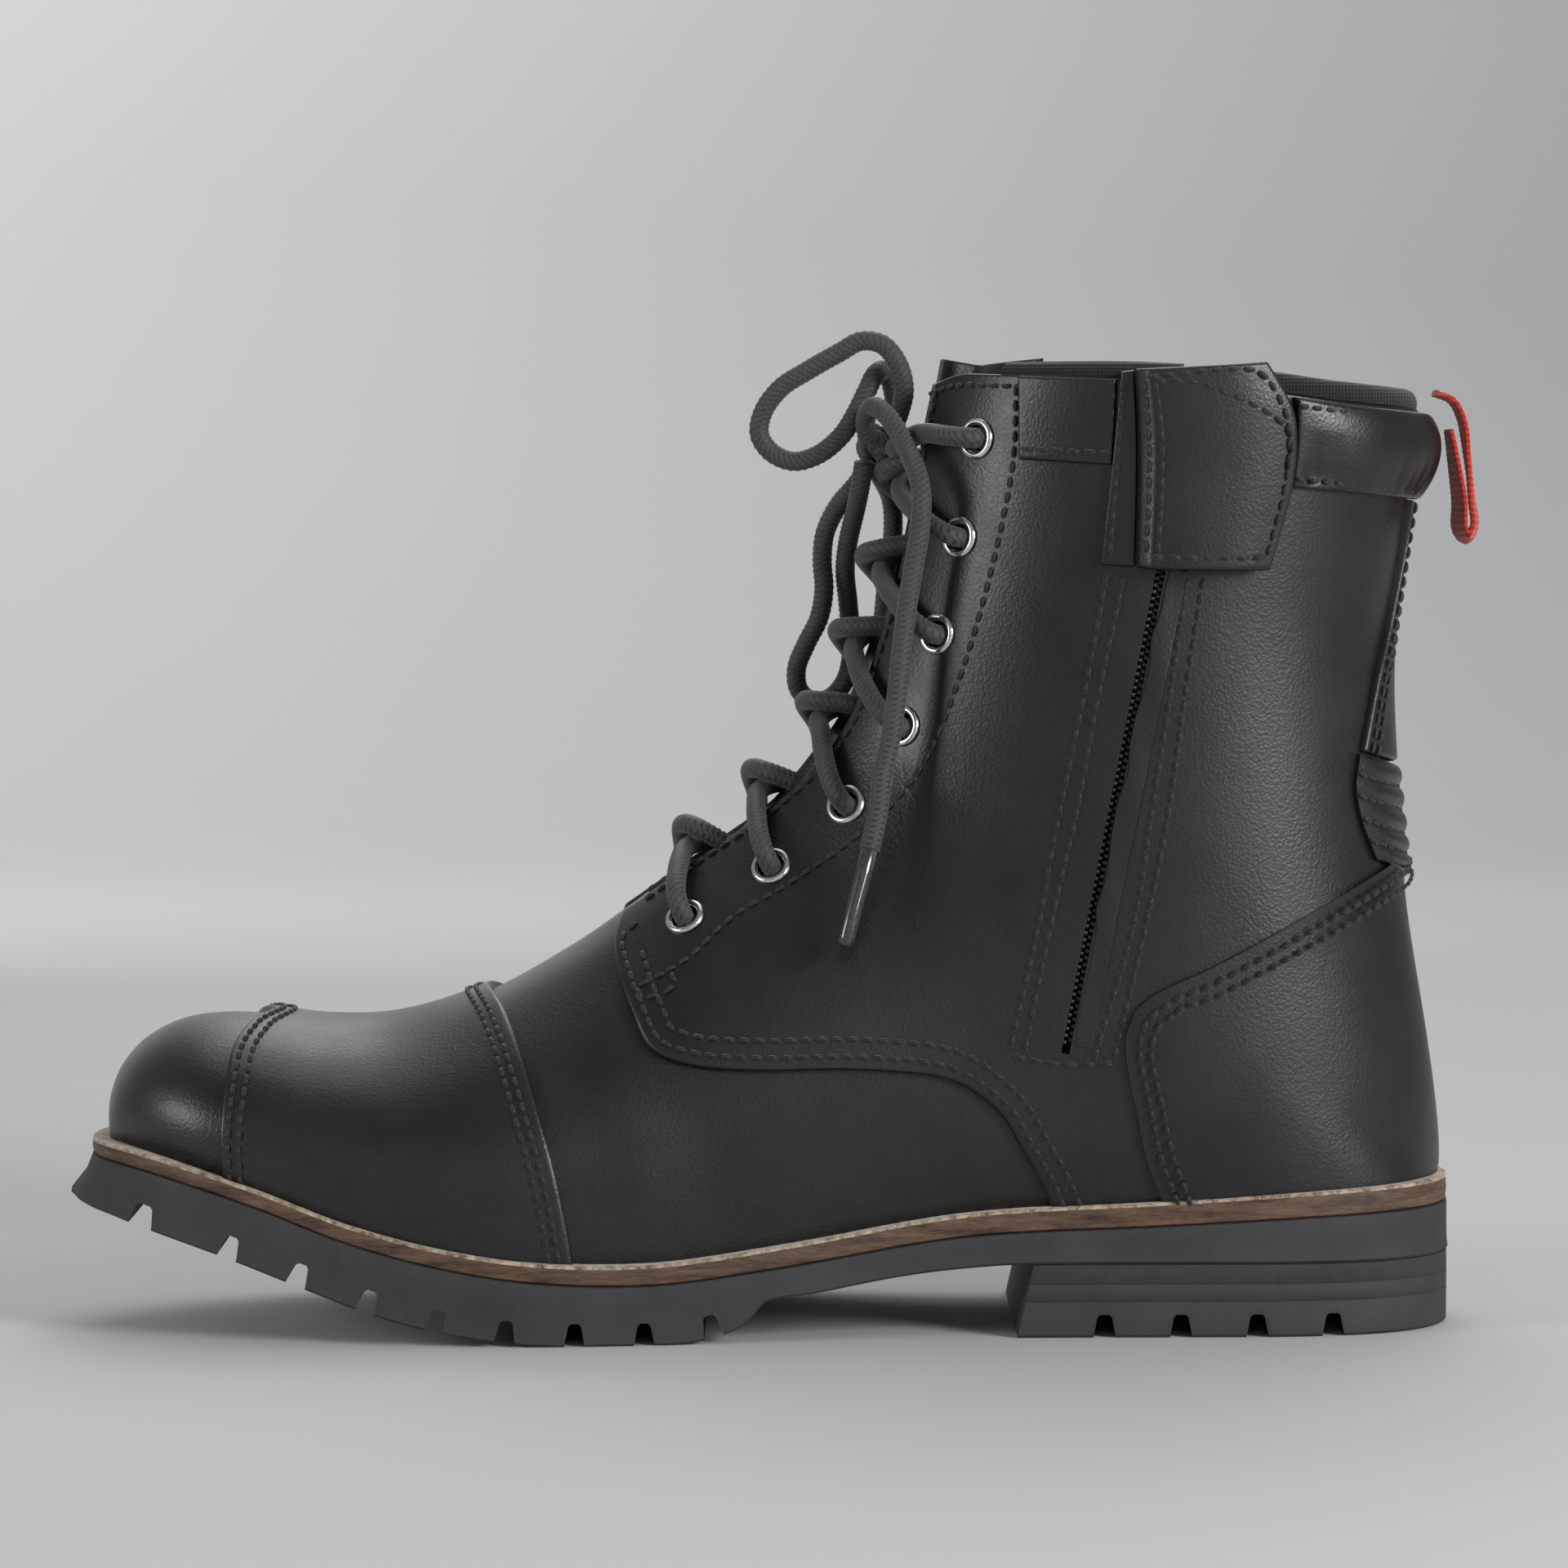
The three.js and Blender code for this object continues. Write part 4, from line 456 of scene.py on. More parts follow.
def carried_frames(path):
    """Directions across a path that turn with it and no more: each is the last one, squared up."""
    along = np.gradient(path, axis=0)
    along /= np.linalg.norm(along, axis=1, keepdims=True)
    across = np.empty_like(along)
    current = np.array([0.31, 0.27, 0.91])
    for i, direction in enumerate(along):
        current = current - direction * (current @ direction)
        current /= np.linalg.norm(current)
        across[i] = current
    return along, across, np.cross(along, across)


def tube(path, radius, count):
    """Rings of a radius, a number or an array of rings by corners, carried along a path."""
    along, across, third = carried_frames(path)
    angle = np.linspace(0, 2 * np.pi, count, endpoint=False)
    radius = np.broadcast_to(radius, (len(path), count))[..., None]
    ring = across[:, None] * np.cos(angle)[:, None] + third[:, None] * np.sin(angle)[:, None]
    points = (path[:, None] + radius * ring).reshape(-1, 3)
    points = np.vstack([points, path[0] - along[0] * 0.4, path[-1] + along[-1] * 0.4])
    faces = grid_faces(len(path), count, wrap=True).tolist()
    first, last = len(path) * count, len(path) * count + 1
    corner = np.arange(count)
    after = np.roll(corner, -1)
    faces += [[a, b, first] for a, b in zip(after.tolist(), corner.tolist())]
    top = (len(path) - 1) * count
    faces += [[top + a, top + b, last] for a, b in zip(corner.tolist(), after.tolist())]
    return points, faces


def plaited(path, radius, count=18):
    """A radius that rises in chevrons: rise |sin(pi (travel / plait + zigzag round the cord))|."""
    travel = np.concatenate([[0], np.cumsum(np.linalg.norm(np.diff(path, axis=0), axis=1))])
    angle = np.linspace(0, 2 * np.pi, count, endpoint=False)
    zigzag = np.abs((angle / (2 * np.pi) * PLAIT_STRANDS) % 1 * 2 - 1)
    phase = travel[:, None] / PLAIT + zigzag * 0.75
    return radius - PLAIT_RISE + PLAIT_RISE * np.abs(np.sin(np.pi * phase))


lace_cloth, lace_shader, spot = surface("lace_cloth", Specular_IOR_Level=0.5)
lace_shader.inputs["Sheen Weight"].default_value = 0.22
fibre = spot.noise(2200, 3, 0.7)
tone = spot.noise(500, 2)
# Painted shade: three quarters of the lace's colour comes from the braid height, darkest in the grooves between
# strands; the other quarter is random tone.
braid = spot.node("ShaderNodeAttribute", {"attribute_name": "braid"}, {}, out=2)
groove_shade_and_tone = 0.75 * braid + 0.25 * tone
feed(lace_shader, Base_Color=groove_shade_and_tone.colour((0.2, (0.003, 0.003, 0.003)), (0.9, (0.06, 0.06, 0.062))))
feed(lace_shader, Roughness=0.42 + 0.3 * fibre, Normal=fibre.bump(0.6, 0.0003))


def lace(name, points, node, radius=LACE / 2, pitch=0.43):
    """A plaited tube along a smooth line through points; returns it and its centre line."""
    rough = smooth_line(points, np.linspace(0, 1, 400))
    path = smooth_line(points, np.linspace(0, 1, max(20, int(line_length(rough) / pitch))))
    ridge = plaited(path, radius)
    skin, faces = tube(path, ridge, 18)
    made = piece(name, skin, faces, lace_cloth, "boot", [node], crease=180)
    # This height also paints shade into the lace's colour, darkest in the grooves.
    height = np.append((ridge - radius) / PLAIT_RISE + 1, [1, 1])  # 0 in a groove, 1 on a strand
    made.data.attributes.new("braid", "FLOAT", "POINT").data.foreach_set("value", height)
    return made, path


LOOP_HIGH = np.array([
    [2.5, -3, 4], [3.7, -5, 7.2], [4.7, -7.5, 12.2], [3.3, -8.5, 17.8], [-0.1, -8.5, 22],
    [-4.7, -8, 22.8], [-9.3, -7.5, 20.4], [-16.7, -6.5, 16.2], [-22.4, -6, 12.5],
    [-26.3, -5.2, 7.2], [-27.1, -4.6, 2.3], [-24.5, -4.5, -1.6], [-19.7, -5, -3.6],
    [-14.3, -5.4, -2.2], [-9.1, -5.6, 2], [-6.1, -5.2, 6.6], [-3.5, -4.2, 11.8],
    [-1.5, -2, 15.6], [0.7, 0.6, 16.4], [2.3, 2.4, 12.4], [2.9, 2.8, 8.2], [3.1, 2.8, 4],
])
LOOP_LOW = np.array([
    [-4.1, -2.6, -4], [-4.8, -1, -8.7], [-5.9, 4, -14.4], [-7.5, 9.5, -21.7],
    [-8.1, 13.5, -27.9], [-7.4, 18.5, -35.2], [-6.8, 21.6, -42.3], [-6.7, 23.2, -48.2],
    [-8.1, 23.8, -53.2], [-11.3, 23.6, -56.8], [-15.1, 22.6, -57.6], [-18.3, 21.4, -55],
    [-18.9, 19.8, -50.2], [-16.8, 17.4, -44.6], [-13.9, 16, -38.7], [-12.8, 14, -32.2],
    [-13.2, 12.2, -25.7], [-12.6, 10, -19.7], [-9.8, 7.6, -13.7], [-5.3, 4.4, -8.2],
    [-2.7, 3, -4],
])
END_START = {
    "medial": [[-3.2, -6.5, 1.3], [-3.9, -8.6, 4.8], [-2.3, -13.4, 8.4], [0.9, -18.4, 6.2], [4.6, -22.4, 0]],
    "lateral": [[-3.2, 6.5, 0.3], [-3.5, 10.5, -0.8], [-1.5, 15, -4.8]],
}
END_HANG = {
    "medial": [
        [31.6, 184], [31.4, 174.8], [30, 166.6], [28.6, 157.9], [27.3, 147.5], [26.6, 140.8],
        [25.2, 130.4], [23.2, 121.7], [22.3, 113.9], [20.5, 106],
    ],
    "lateral": [
        [26, 181], [26.5, 174], [25.5, 166], [24.5, 156], [23.8, 146], [23, 136], [22, 127],
        [20.5, 119], [19, 111],
    ],
}
AGLET_TIP = {"medial": [15, 85.4], "lateral": [15.6, 90.5]}
HANG_DEPTH = 11


def hung_at(spots, side, depth):
    """The points at a depth off the last that a side view shows at x, z, by repeated correction."""
    aim = np.asarray(spots, float)
    guess = aim.copy()
    for _ in range(8):
        t, s = locate(guess).T
        found = on_last(t, side * s, depth)
        guess = guess + 0.8 * (aim + ORIGIN[[0, 2]] - found[:, [0, 2]])
    return found


aglet_plastic, aglet_shader, spot = surface("aglet_plastic", IOR=1.5, Coat_Roughness=0.05)
feed(aglet_shader, Base_Color=spot.noise(1500, 2).colour((0.3, (0.012, 0.012, 0.013)), (0.8, (0.05, 0.05, 0.053))))
feed(aglet_shader, Roughness=0.12 + 0.2 * spot.noise(700, 2), Coat_Weight=0.8 + 0.2 * spot.noise(60, 1))

lace("lace_inner_threaded", threaded(1), "lace_inner")
lace("lace_outer_threaded", threaded(-1), "lace_outer")
for name, loop in (("high", LOOP_HIGH), ("low", LOOP_LOW)):
    made, path = lace(f"bow_loop_{name}", KNOT + ORIGIN + loop, f"lace_loop_{name}")
for side_name, side in (("medial", 1), ("lateral", -1)):
    hang = hung_at(END_HANG[side_name], side, HANG_DEPTH)
    tip = hung_at([AGLET_TIP[side_name]], side, HANG_DEPTH - 1.5)[0]
    start = KNOT + ORIGIN + END_START[side_name]
    end, path = lace(f"free_end_{side_name}", np.vstack([start, hang]), f"lace_end_{side_name}")
    run = (tip - hang[-1]) / np.linalg.norm(tip - hang[-1])
    share = np.array([0, 0.02, 0.3, 0.6, 0.9, 0.985, 1.0])[:, None]
    line = hang[-1] - run * 1.0 + (tip - hang[-1] + run) * share
    girth = np.array([1.6, 2.0, 1.95, 1.85, 1.75, 1.5, 1.0])[:, None]
    skin, faces = tube(line, girth * np.ones((1, 20)), 20)
    node = f"aglet_{side_name}"
    aglet = piece(f"{node}_sleeve", skin, faces, aglet_plastic, "boot", [node], crease=60)

# The knot: three short turns of the same cord pulled over each other.
KNOT_TURNS = [
    (np.array([3.6, 5.2, 1.4]), 0.0, (0.3, 0, 0.4)),
    (np.array([4.4, 3.0, 1.2]), 0.9, (-0.4, 0, -0.6)),
    (np.array([2.2, 4.6, 1.9]), -0.7, (1.0, 0, 0)),
]
knot_points, knot_faces, knot_heights = [], [], []
for half, lean, shift in KNOT_TURNS:
    angle = np.linspace(0, 2 * np.pi, 90)
    ring = np.stack([half[0] * np.cos(angle), half[1] * np.sin(angle), half[2] * np.sin(2 * angle)], -1)
    turn = np.array([[math.cos(lean), 0, math.sin(lean)], [0, 1, 0], [-math.sin(lean), 0, math.cos(lean)]])
    path = ring @ turn.T + KNOT + ORIGIN + shift
    ridge = plaited(path, 1.95)
    points, faces = tube(path, ridge, 18)
    knot_heights.append(np.append((ridge - 1.95) / PLAIT_RISE + 1, [1, 1]))
    base = sum(len(p) for p in knot_points)
    knot_faces += [[index + base for index in face] for face in faces]
    knot_points.append(points)
made = piece("lace_knot_turns", np.vstack(knot_points), knot_faces, lace_cloth, "boot", ["lace_knot"], crease=180)
# The same height paints shade into the knot's grooves.
made.data.attributes.new("braid", "FLOAT", "POINT").data.foreach_set("value", np.concatenate(knot_heights))

# ---------------------------------------------------------------- toe cap
# Smooth black hide pulled over a stiff toe puff; its rear edge runs under the shift pad.
# Cut from one sheet, 1.8 mm thick, and lasted under the foot.
LEATHER_GRAIN = 1500  # pores to the metre


def black_hide(name, dark=0.003, light=0.0085, gloss=0.32, seed=0.0):
    """Aniline-dyed black cowhide: fine pores, faint pull-up clouds and a waxed sheen."""
    material, shader, spot = surface(name, Specular_IOR_Level=0.5, Coat_Roughness=0.32)
    moved = spot.node("ShaderNodeVectorMath", {"operation": "ADD"}, {0: spot, 1: (seed, seed, 0)})
    cloud = moved.noise(16, 4, 0.55)
    patina = moved.noise(55, 5, 0.6)
    pores = moved.node(
        "ShaderNodeTexVoronoi", {"feature": "SMOOTH_F1"},
        {"Vector": moved, "Scale": LEATHER_GRAIN, "Smoothness": 0.6},
    )
    wrinkle = moved.noise(650, 4, 0.6)
    tone = 0.55 * cloud + 0.45 * patina
    stops = ((0.32, (dark, dark * 1.01, dark * 1.05)), (0.7, (light, light * 1.0, light * 1.02)))
    feed(shader, Base_Color=tone.colour(*stops))
    feed(shader, Roughness=gloss - 0.12 + 0.3 * patina + 0.1 * wrinkle)
    feed(shader, Coat_Weight=0.35 * cloud)
    soft = wrinkle.bump(0.07, 0.0004)
    feed(shader, Normal=pores.bump(0.3, 0.00022, soft))
    return material


hide = black_hide("hide")
supple_hide = black_hide("supple_hide", 0.003, 0.0085, 0.31, 3.0)
raw_edge, raw_shader, spot = surface("raw_edge", Specular_IOR_Level=0.3)
feed(raw_shader, Base_Color=spot.noise(900, 3).colour((0.3, (0.012, 0.012, 0.012)), (0.7, (0.035, 0.034, 0.033))))
feed(raw_shader, Roughness=0.7 + 0.2 * spot.noise(600, 2), Normal=spot.noise(1800, 3).bump(0.5, 0.0003))


def coons(bottom, top, left, right):
    """The places between four seams: two ruled surfaces less the one through their corners."""
    def place(u, v):
        low, high, first, last = bottom(u)[None], top(u)[None], left(v)[:, None], right(v)[:, None]
        across, up = u[None, :, None], v[:, None, None]
        corners = (1 - up) * ((1 - across) * low[:, :1] + across * low[:, -1:])
        corners = corners + up * ((1 - across) * high[:, :1] + across * high[:, -1:])
        ruled = (1 - up) * low + up * high + (1 - across) * first + across * last
        return ruled - corners
    return place


def straight(first, second, share):
    """A function along v from one seam's place at a share to the other's."""
    a, b = first(np.array([share]))[0], second(np.array([share]))[0]
    return lambda v: a + (b - a) * np.asarray(v)[:, None]


def edge_steps(length, step):
    """Shares of a length, close together near both ends, so that the edge can be rounded."""
    fine = np.array([0.0, 0.22, 0.55, 1.0]) / length
    middle = np.linspace(1.7 / length, 1 - 1.7 / length, max(3, round(length / step)))
    return np.concatenate([fine, middle, 1 - fine[::-1]])


def slab_faces(rows, columns):
    """Quads of both faces of a slab between two grids, and of the walls round its border."""
    index = np.arange(rows * columns).reshape(rows, columns)
    outer = grid_faces(rows, columns)
    rim = np.concatenate([index[0, :-1], index[:-1, -1], index[-1, :0:-1], index[:0:-1, 0]])
    after, below = np.roll(rim, -1), rows * columns
    walls = np.stack([rim, rim + below, after + below, after], -1)
    return np.vstack([outer, outer[:, ::-1] + below, walls])


def on_own_side(place):
    """The same places, kept from running past the open sole line."""
    def held(u, v):
        spots = place(u, v)
        spots[..., 1] = np.clip(spots[..., 1], -1, 1)
        return spots
    return held


def level(depth, across, up):
    return depth(across, up) if callable(depth) else np.full(np.broadcast(across, up).shape, depth)


def eased(grid, passes):
    """The grid with its inner points drawn halfway to their four neighbours' mean, over and over."""
    grid = grid.copy()
    for _ in range(passes):
        mean = grid[:-2, 1:-1] + grid[2:, 1:-1] + grid[1:-1, :-2] + grid[1:-1, 2:]
        grid[1:-1, 1:-1] = (grid[1:-1, 1:-1] + mean / 4) / 2
    return grid


def leather_on_last(place, inner, outer, size, step=1.8, roll=0.75, passes=0):
    """A slab over a patch of the last; near its border the outer face rolls down in a quarter circle."""
    u, v = edge_steps(size[0], step), edge_steps(size[1], step)
    spots = place(u, v)
    t, s = spots[..., 0], spots[..., 1]
    across, up = np.broadcast_arrays(u[None], v[:, None])
    inset = np.minimum(np.minimum(across, 1 - across) * size[0], np.minimum(up, 1 - up) * size[1])
    drop = roll - np.sqrt(np.maximum(roll ** 2 - (roll - np.minimum(inset, roll)) ** 2, 0))
    over = eased(on_last(t, s, level(outer, across, up) - drop), passes)
    under = eased(on_last(t, s, level(inner, across, up)), passes)
    return np.vstack([over.reshape(-1, 3), under.reshape(-1, 3)]), slab_faces(len(v), len(u))


def to_sole(places):
    """Places whose last one is moved to the sole line."""
    places = places.copy()
    places[-1, 1] = 1.0
    return places


def moved(places, dt, ds=0.0):
    return np.asarray(places) + (dt, ds)


def over_instep(places):
    """The same line on both sides, from the outer sole over the instep to the zip side."""
    return np.vstack([places[::-1] * (1, -1), places[places[:, 1] > 0]])


def crosswise(s, line, end):
    """Along v at a turn s, from the toe tip or a start to the end of a line."""
    stop = line(np.array([float(end)]))[0, 0]
    return lambda v: np.stack([stop * np.asarray(v), np.full(len(v), float(s))], -1)


PAD_FRONT = to_sole(locate([
    [-110.9, 67.6], [-115.2, 65.6], [-117.7, 61.5], [-118.6, 53], [-119, 43], [-118.4, 33],
]))
PAD_REAR = to_sole(locate([
    [-62.6, 72.8], [-58.2, 68.6], [-54.3, 60.3], [-50.5, 48.7], [-47, 36.7], [-43.6, 15],
]))
VAMP_REAR = to_sole(locate([
    [-28, 94], [-26.5, 84], [-18, 71.5], [2, 65.5], [28, 65], [46, 61], [59, 49], [66, 27],
]))
STEP_BACK = 0.55
cap_edge = seam(over_instep(moved(PAD_FRONT, STEP_BACK)))
nose = lambda u: np.stack([np.zeros(len(u)), 2 * u - 1], -1)
cap_place = on_own_side(coons(nose, cap_edge, crosswise(-1, cap_edge, 0), crosswise(1, cap_edge, 1)))
points, faces = leather_on_last(cap_place, -LEATHER, 0, (150, 60), 1.8, 0.05)
piece("toe_cap_hide", points, faces, hide, "boot", ["toe_cap"], crease=50)

# ---------------------------------------------------------------- vamp
# The hide over the forefoot, from under the shift pad to under the quarters.


def band_place(front, rear):
    """The places between two lines that each cross the foot from sole to sole."""
    low, high = seam(over_instep(front)), seam(over_instep(rear))
    ends = []
    for s, share in ((-1.0, 0.0), (1.0, 1.0)):
        a, b = low(np.array([share]))[0, 0], high(np.array([share]))[0, 0]
        ends.append(lambda v, a=a, b=b, s=s: np.stack([a + (b - a) * v, np.full(len(v), s)], -1))
    return on_own_side(coons(low, high, *ends))


vamp_place = band_place(moved(PAD_FRONT, STEP_BACK + 0.06), VAMP_REAR)
points, faces = leather_on_last(vamp_place, -LEATHER, 0, (190, 110), 2.0, 0.05)
piece("vamp_hide", points, faces, hide, "boot", ["vamp"], crease=50)

# ---------------------------------------------------------------- shift pad
# A band of the same hide sewn over the joint of toe cap and vamp, where the gear lever
# wears a boot. Two rows of thread hold each long edge.
pad_place = band_place(PAD_FRONT, PAD_REAR)
points, faces = leather_on_last(pad_place, -0.2, 2.0, (175, 68), 1.8, 0.9)
piece("shift_pad_hide", points, faces, hide, "boot", ["shift_pad"], crease=50)

STITCH = 3.3  # from one stitch to the next
STITCH_SHAPE = np.array([  # along, as a share of half a stitch, and girth
    [-1.0, 0.25], [-0.8, 0.8], [-0.3, 1.0], [0.3, 1.0], [0.8, 0.8], [1.0, 0.25],
])
THREAD = 0.56  # half the thread's thickness
thread_black, thread_shader, spot = surface("thread_black", Specular_IOR_Level=0.45)
thread_shader.inputs["Sheen Weight"].default_value = 0.2
feed(thread_shader, Base_Color=spot.noise(700, 2).colour((0.3, (0.0025, 0.0025, 0.0025)), (0.8, (0.009, 0.009, 0.0095))))
feed(thread_shader, Roughness=0.42 + 0.3 * spot.noise(1500, 2), Normal=spot.noise(2600, 2).bump(0.5, 0.0002))


def stitches(lines, pitch=STITCH, thread=THREAD, fill=0.4):
    """Rows of stitches: each is a short six-sided grain of thread that dips at both ends.
    A line is places (t, s) and a depth; it is read at even steps of its length in space."""
    corner = np.linspace(0, 2 * np.pi, 6, endpoint=False)
    rings = len(STITCH_SHAPE)
    shape = grid_faces(rings, 6, wrap=True).tolist() + [list(range(5, -1, -1)), list(range(6 * rings - 6, 6 * rings))]
    all_points, all_faces = [], []
    for places, depth in lines:
        dense = seam(places)(np.linspace(0, 1, 500))
        spots = on_last(dense[:, 0], dense[:, 1], depth)
        travel = np.concatenate([[0], np.cumsum(np.linalg.norm(np.diff(spots, axis=0), axis=1))])
        count = max(1, int(travel[-1] / pitch))
        middle = (np.arange(count) + 0.5) * travel[-1] / count
        read = lambda at, table: np.stack([np.interp(at, travel, column) for column in table.T], -1)
        half = fill * travel[-1] / count
        a, b, centre = read(middle - half, spots), read(middle + half, spots), read(middle, spots)
        along = (b - a) / 2
        place = read(middle, dense)
        out = last_normal(place[:, 0], place[:, 1])
        side = np.cross(along, out)
        side /= np.linalg.norm(side, axis=1, keepdims=True)
        share, girth = STITCH_SHAPE[:, 0], STITCH_SHAPE[:, 1] * thread
        height = thread * 0.55 - 0.75 * thread * share ** 4
        lift = (height[:, None] + girth[:, None] * np.sin(corner) * 0.8)[None, ..., None]
        wide = (girth[:, None] * np.cos(corner))[None, ..., None]
        grain = centre[:, None, None] + along[:, None, None] * share[None, :, None, None]
        grain = grain + out[:, None, None] * lift + side[:, None, None] * wide
        base = sum(len(p) for p in all_points)
        size = rings * 6
        for face in shape:
            start = base + np.arange(count)[:, None] * size
            all_faces += (start + np.array(face)).tolist()
        all_points.append(grain.reshape(-1, 3))
    return np.vstack(all_points), all_faces


def sew(name, lines, body="boot", slot="leather", **how):
    points, faces = stitches(lines, **how)
    return piece(name, points, faces, thread_black, body, (), crease=180)


def inset_line(places, distance, toward):
    """Places moved a distance, in millimetres, to one side of their own line, on the last."""
    places = np.asarray(places, float)
    spots = on_last(places[:, 0], places[:, 1])
    along = np.gradient(spots, axis=0)
    out = last_normal(places[:, 0], places[:, 1])
    side = np.cross(out, along)
    side /= np.linalg.norm(side, axis=1, keepdims=True)
    small = 1e-3
    t, s = places.T
    by_t = (on_last(t + small, s) - on_last(t - small, s)) / (2 * small)
    by_s = (on_last(t, s + small) - on_last(t, s - small)) / (2 * small)
    want = side * distance * toward
    a, b, d = (by_t * by_t).sum(1), (by_t * by_s).sum(1), (by_s * by_s).sum(1)
    e, f = (by_t * want).sum(1), (by_s * want).sum(1)
    det = np.maximum(a * d - b * b, 1e-9)
    found = np.stack([t + (d * e - b * f) / det, s + (a * f - b * e) / det], -1)
    held = (np.abs(found[:, 1]) < 0.997) if s.max() < 1.0001 else np.ones(len(s), bool)
    return found[held]


def side_line(points, count=40):
    """Places along a smooth line that is drawn in the side view."""
    return locate(smooth_line(points, np.linspace(0, 1, count)))


def even(places, count=60):
    return seam(places)(np.linspace(0, 1, count))


PAD_TOP = 2.0
pad_front, pad_rear = even(over_instep(PAD_FRONT), 120)[2:-2], even(over_instep(PAD_REAR), 120)[2:-2]
sew("shift_pad_stitching", [
    (inset_line(pad_front, 2.0, 1), PAD_TOP), (inset_line(pad_front, 4.3, 1), PAD_TOP),
    (inset_line(pad_rear, 3.2, -1), PAD_TOP), (inset_line(pad_rear, 5.4, -1), PAD_TOP),
])

# ---------------------------------------------------------------- quarters
# The two sides of the boot: one sheet a side from the throat to the back seam, laid over
# the vamp and punched for the eyelets. The zip side is slit for the zip.
QUARTER_FRONT = to_sole(locate([
    [-32.9, 89.6], [-34.4, 84], [-33.2, 75.9], [-30.7, 69.6], [-26.8, 62.6], [-20, 59.6],
    [-2, 58.2], [22.9, 58.2], [37.2, 56.4], [47.4, 50.1], [53.7, 40.6], [57.6, 26],
]))
RIM = locate([[36.6, 206.4], [42, 208.4], [48, 208.4], [74, 207.8], [107, 204.8], [122, 202.8]])
BACK_SEAM = 0.9995
T_HEEL = 16
T_RIM_BACK = locate([[140, 201]])[0, 0]
THROAT = [QUARTER_FRONT[0, 0], EYESTAY_GAP]
RIM_FRONT = [RIM[0, 0], EYESTAY_GAP]
back_line = seam([
    [QUARTER_FRONT[-1, 0], 1], [13, 1], [14.6, 0.999], [T_HEEL, BACK_SEAM], [20, BACK_SEAM],
    [T_RIM_BACK, BACK_SEAM],
])
eyestay = seam([
    THROAT, [11, EYESTAY_GAP], [14, EYESTAY_GAP + 0.01], [18, EYESTAY_GAP + 0.01],
    [22, EYESTAY_GAP], RIM_FRONT,
])
quarter_front = seam(np.vstack([QUARTER_FRONT[:0:-1], THROAT]))
quarter_rim = seam(np.vstack([[[T_RIM_BACK, BACK_SEAM]], RIM[:0:-1], RIM_FRONT]))
quarter_place = on_own_side(coons(back_line, eyestay, quarter_front, quarter_rim))
ZIP_LOW, ZIP_HIGH = np.array([62.7, 62.0]), np.array([91.9, 212.0])
ZIP_SLOT = 1.9
zip_run = (ZIP_HIGH - ZIP_LOW) / np.linalg.norm(ZIP_HIGH - ZIP_LOW)


def mirrored(place):
    return lambda u, v: place(u, v) * (1, -1)


def punch(side):
    """Ten-sided punches for the eyelets and, on the zip side, a tapered blade for the slit."""
    points, faces = [], []
    profile = [(0.001, -8), (3.45, -8), (3.45, 8), (0.001, 8)]
    for t, s in EYELET_PLACES:
        base = sum(len(p) for p in points)
        local, quads = turned(profile, 16)
        points.append(stand(local, t, side * s))
        faces += (quads + base).tolist()
        caps = [list(range(base, base + 16)), list(range(base + 48, base + 64))]
        faces += caps
    if side > 0:
        length = np.linalg.norm(ZIP_HIGH - ZIP_LOW) + 20
        box = []
        for y in (-20.0, -80.0):
            for along, off in ((0, -0.9), (0, 0.9), (length, ZIP_SLOT * 0.6), (length, -ZIP_SLOT * 0.6)):
                x = ZIP_LOW[0] + zip_run[0] * along + zip_run[1] * off
                z = ZIP_LOW[1] + zip_run[1] * along - zip_run[0] * off
                box.append([x + ORIGIN[0], y, z])
        base = sum(len(p) for p in points)
        points.append(np.array(box))
        sides = [[0, 1, 2, 3], [7, 6, 5, 4], [0, 4, 5, 1], [1, 5, 6, 2], [2, 6, 7, 3], [3, 7, 4, 0]]
        faces += [[base + index for index in face] for face in sides]
    return piece("punch", np.vstack(points), faces, hide)


def cut_by(target, tool):
    """Takes the tool out of the target with a boolean, then removes the tool."""
    cutter = target.modifiers.new("cut", "BOOLEAN")
    cutter.operation, cutter.solver, cutter.object = "DIFFERENCE", "EXACT", tool
    graph = bpy.context.evaluated_depsgraph_get()
    cut_mesh = bpy.data.meshes.new_from_object(target.evaluated_get(graph))
    target.modifiers.clear()
    target.data = cut_mesh
    mesh = tool.data
    bpy.data.objects.remove(tool)
    bpy.data.meshes.remove(mesh)
    target.data.shade_smooth()
    target.data.set_sharp_from_angle(angle=math.radians(40))


for side_name, side in (("medial", 1), ("lateral", -1)):
    place = quarter_place if side > 0 else mirrored(quarter_place)
    points, faces = leather_on_last(place, OVER[0], OVER[1], (230, 165), 2.0, 0.8)
    node = f"quarter_{side_name}"
    quarter = piece(f"{node}_hide", points, faces, supple_hide, "boot", [node], crease=40)
    cut_by(quarter, punch(side))

QUARTER_TOP = OVER[1]
ZIP_ROWS = {
    "front_outer": [[71.8, 165.9], [67.1, 139.6], [61.8, 113.2], [57.4, 90.3], [50.9, 63.1]],
    "front_inner": [[75.3, 165.5], [69.7, 137.8], [65.3, 113.2], [60, 90.3], [53.9, 62.2]],
    "rear_inner": [[88.5, 165.1], [85, 139.6], [81.1, 113.2], [77.6, 90.3], [68.8, 60.5]],
    "rear_outer": [[92, 165.1], [88.2, 139.6], [84.6, 113.2], [80.2, 90.3], [73.2, 60.8]],
    "foot_row": [[50.9, 61.6], [62, 59.6], [73.2, 60.2]],
}
FACING_ROW = [
    [53.3, 206.5], [52.6, 190.5], [49.4, 172.8], [44.5, 153.4], [39.2, 137.4], [33.9, 125],
    [26.8, 115.3], [16.2, 105.6], [2, 95.8], [-8.6, 89.6], [-18, 81], [-23.5, 77.6],
]
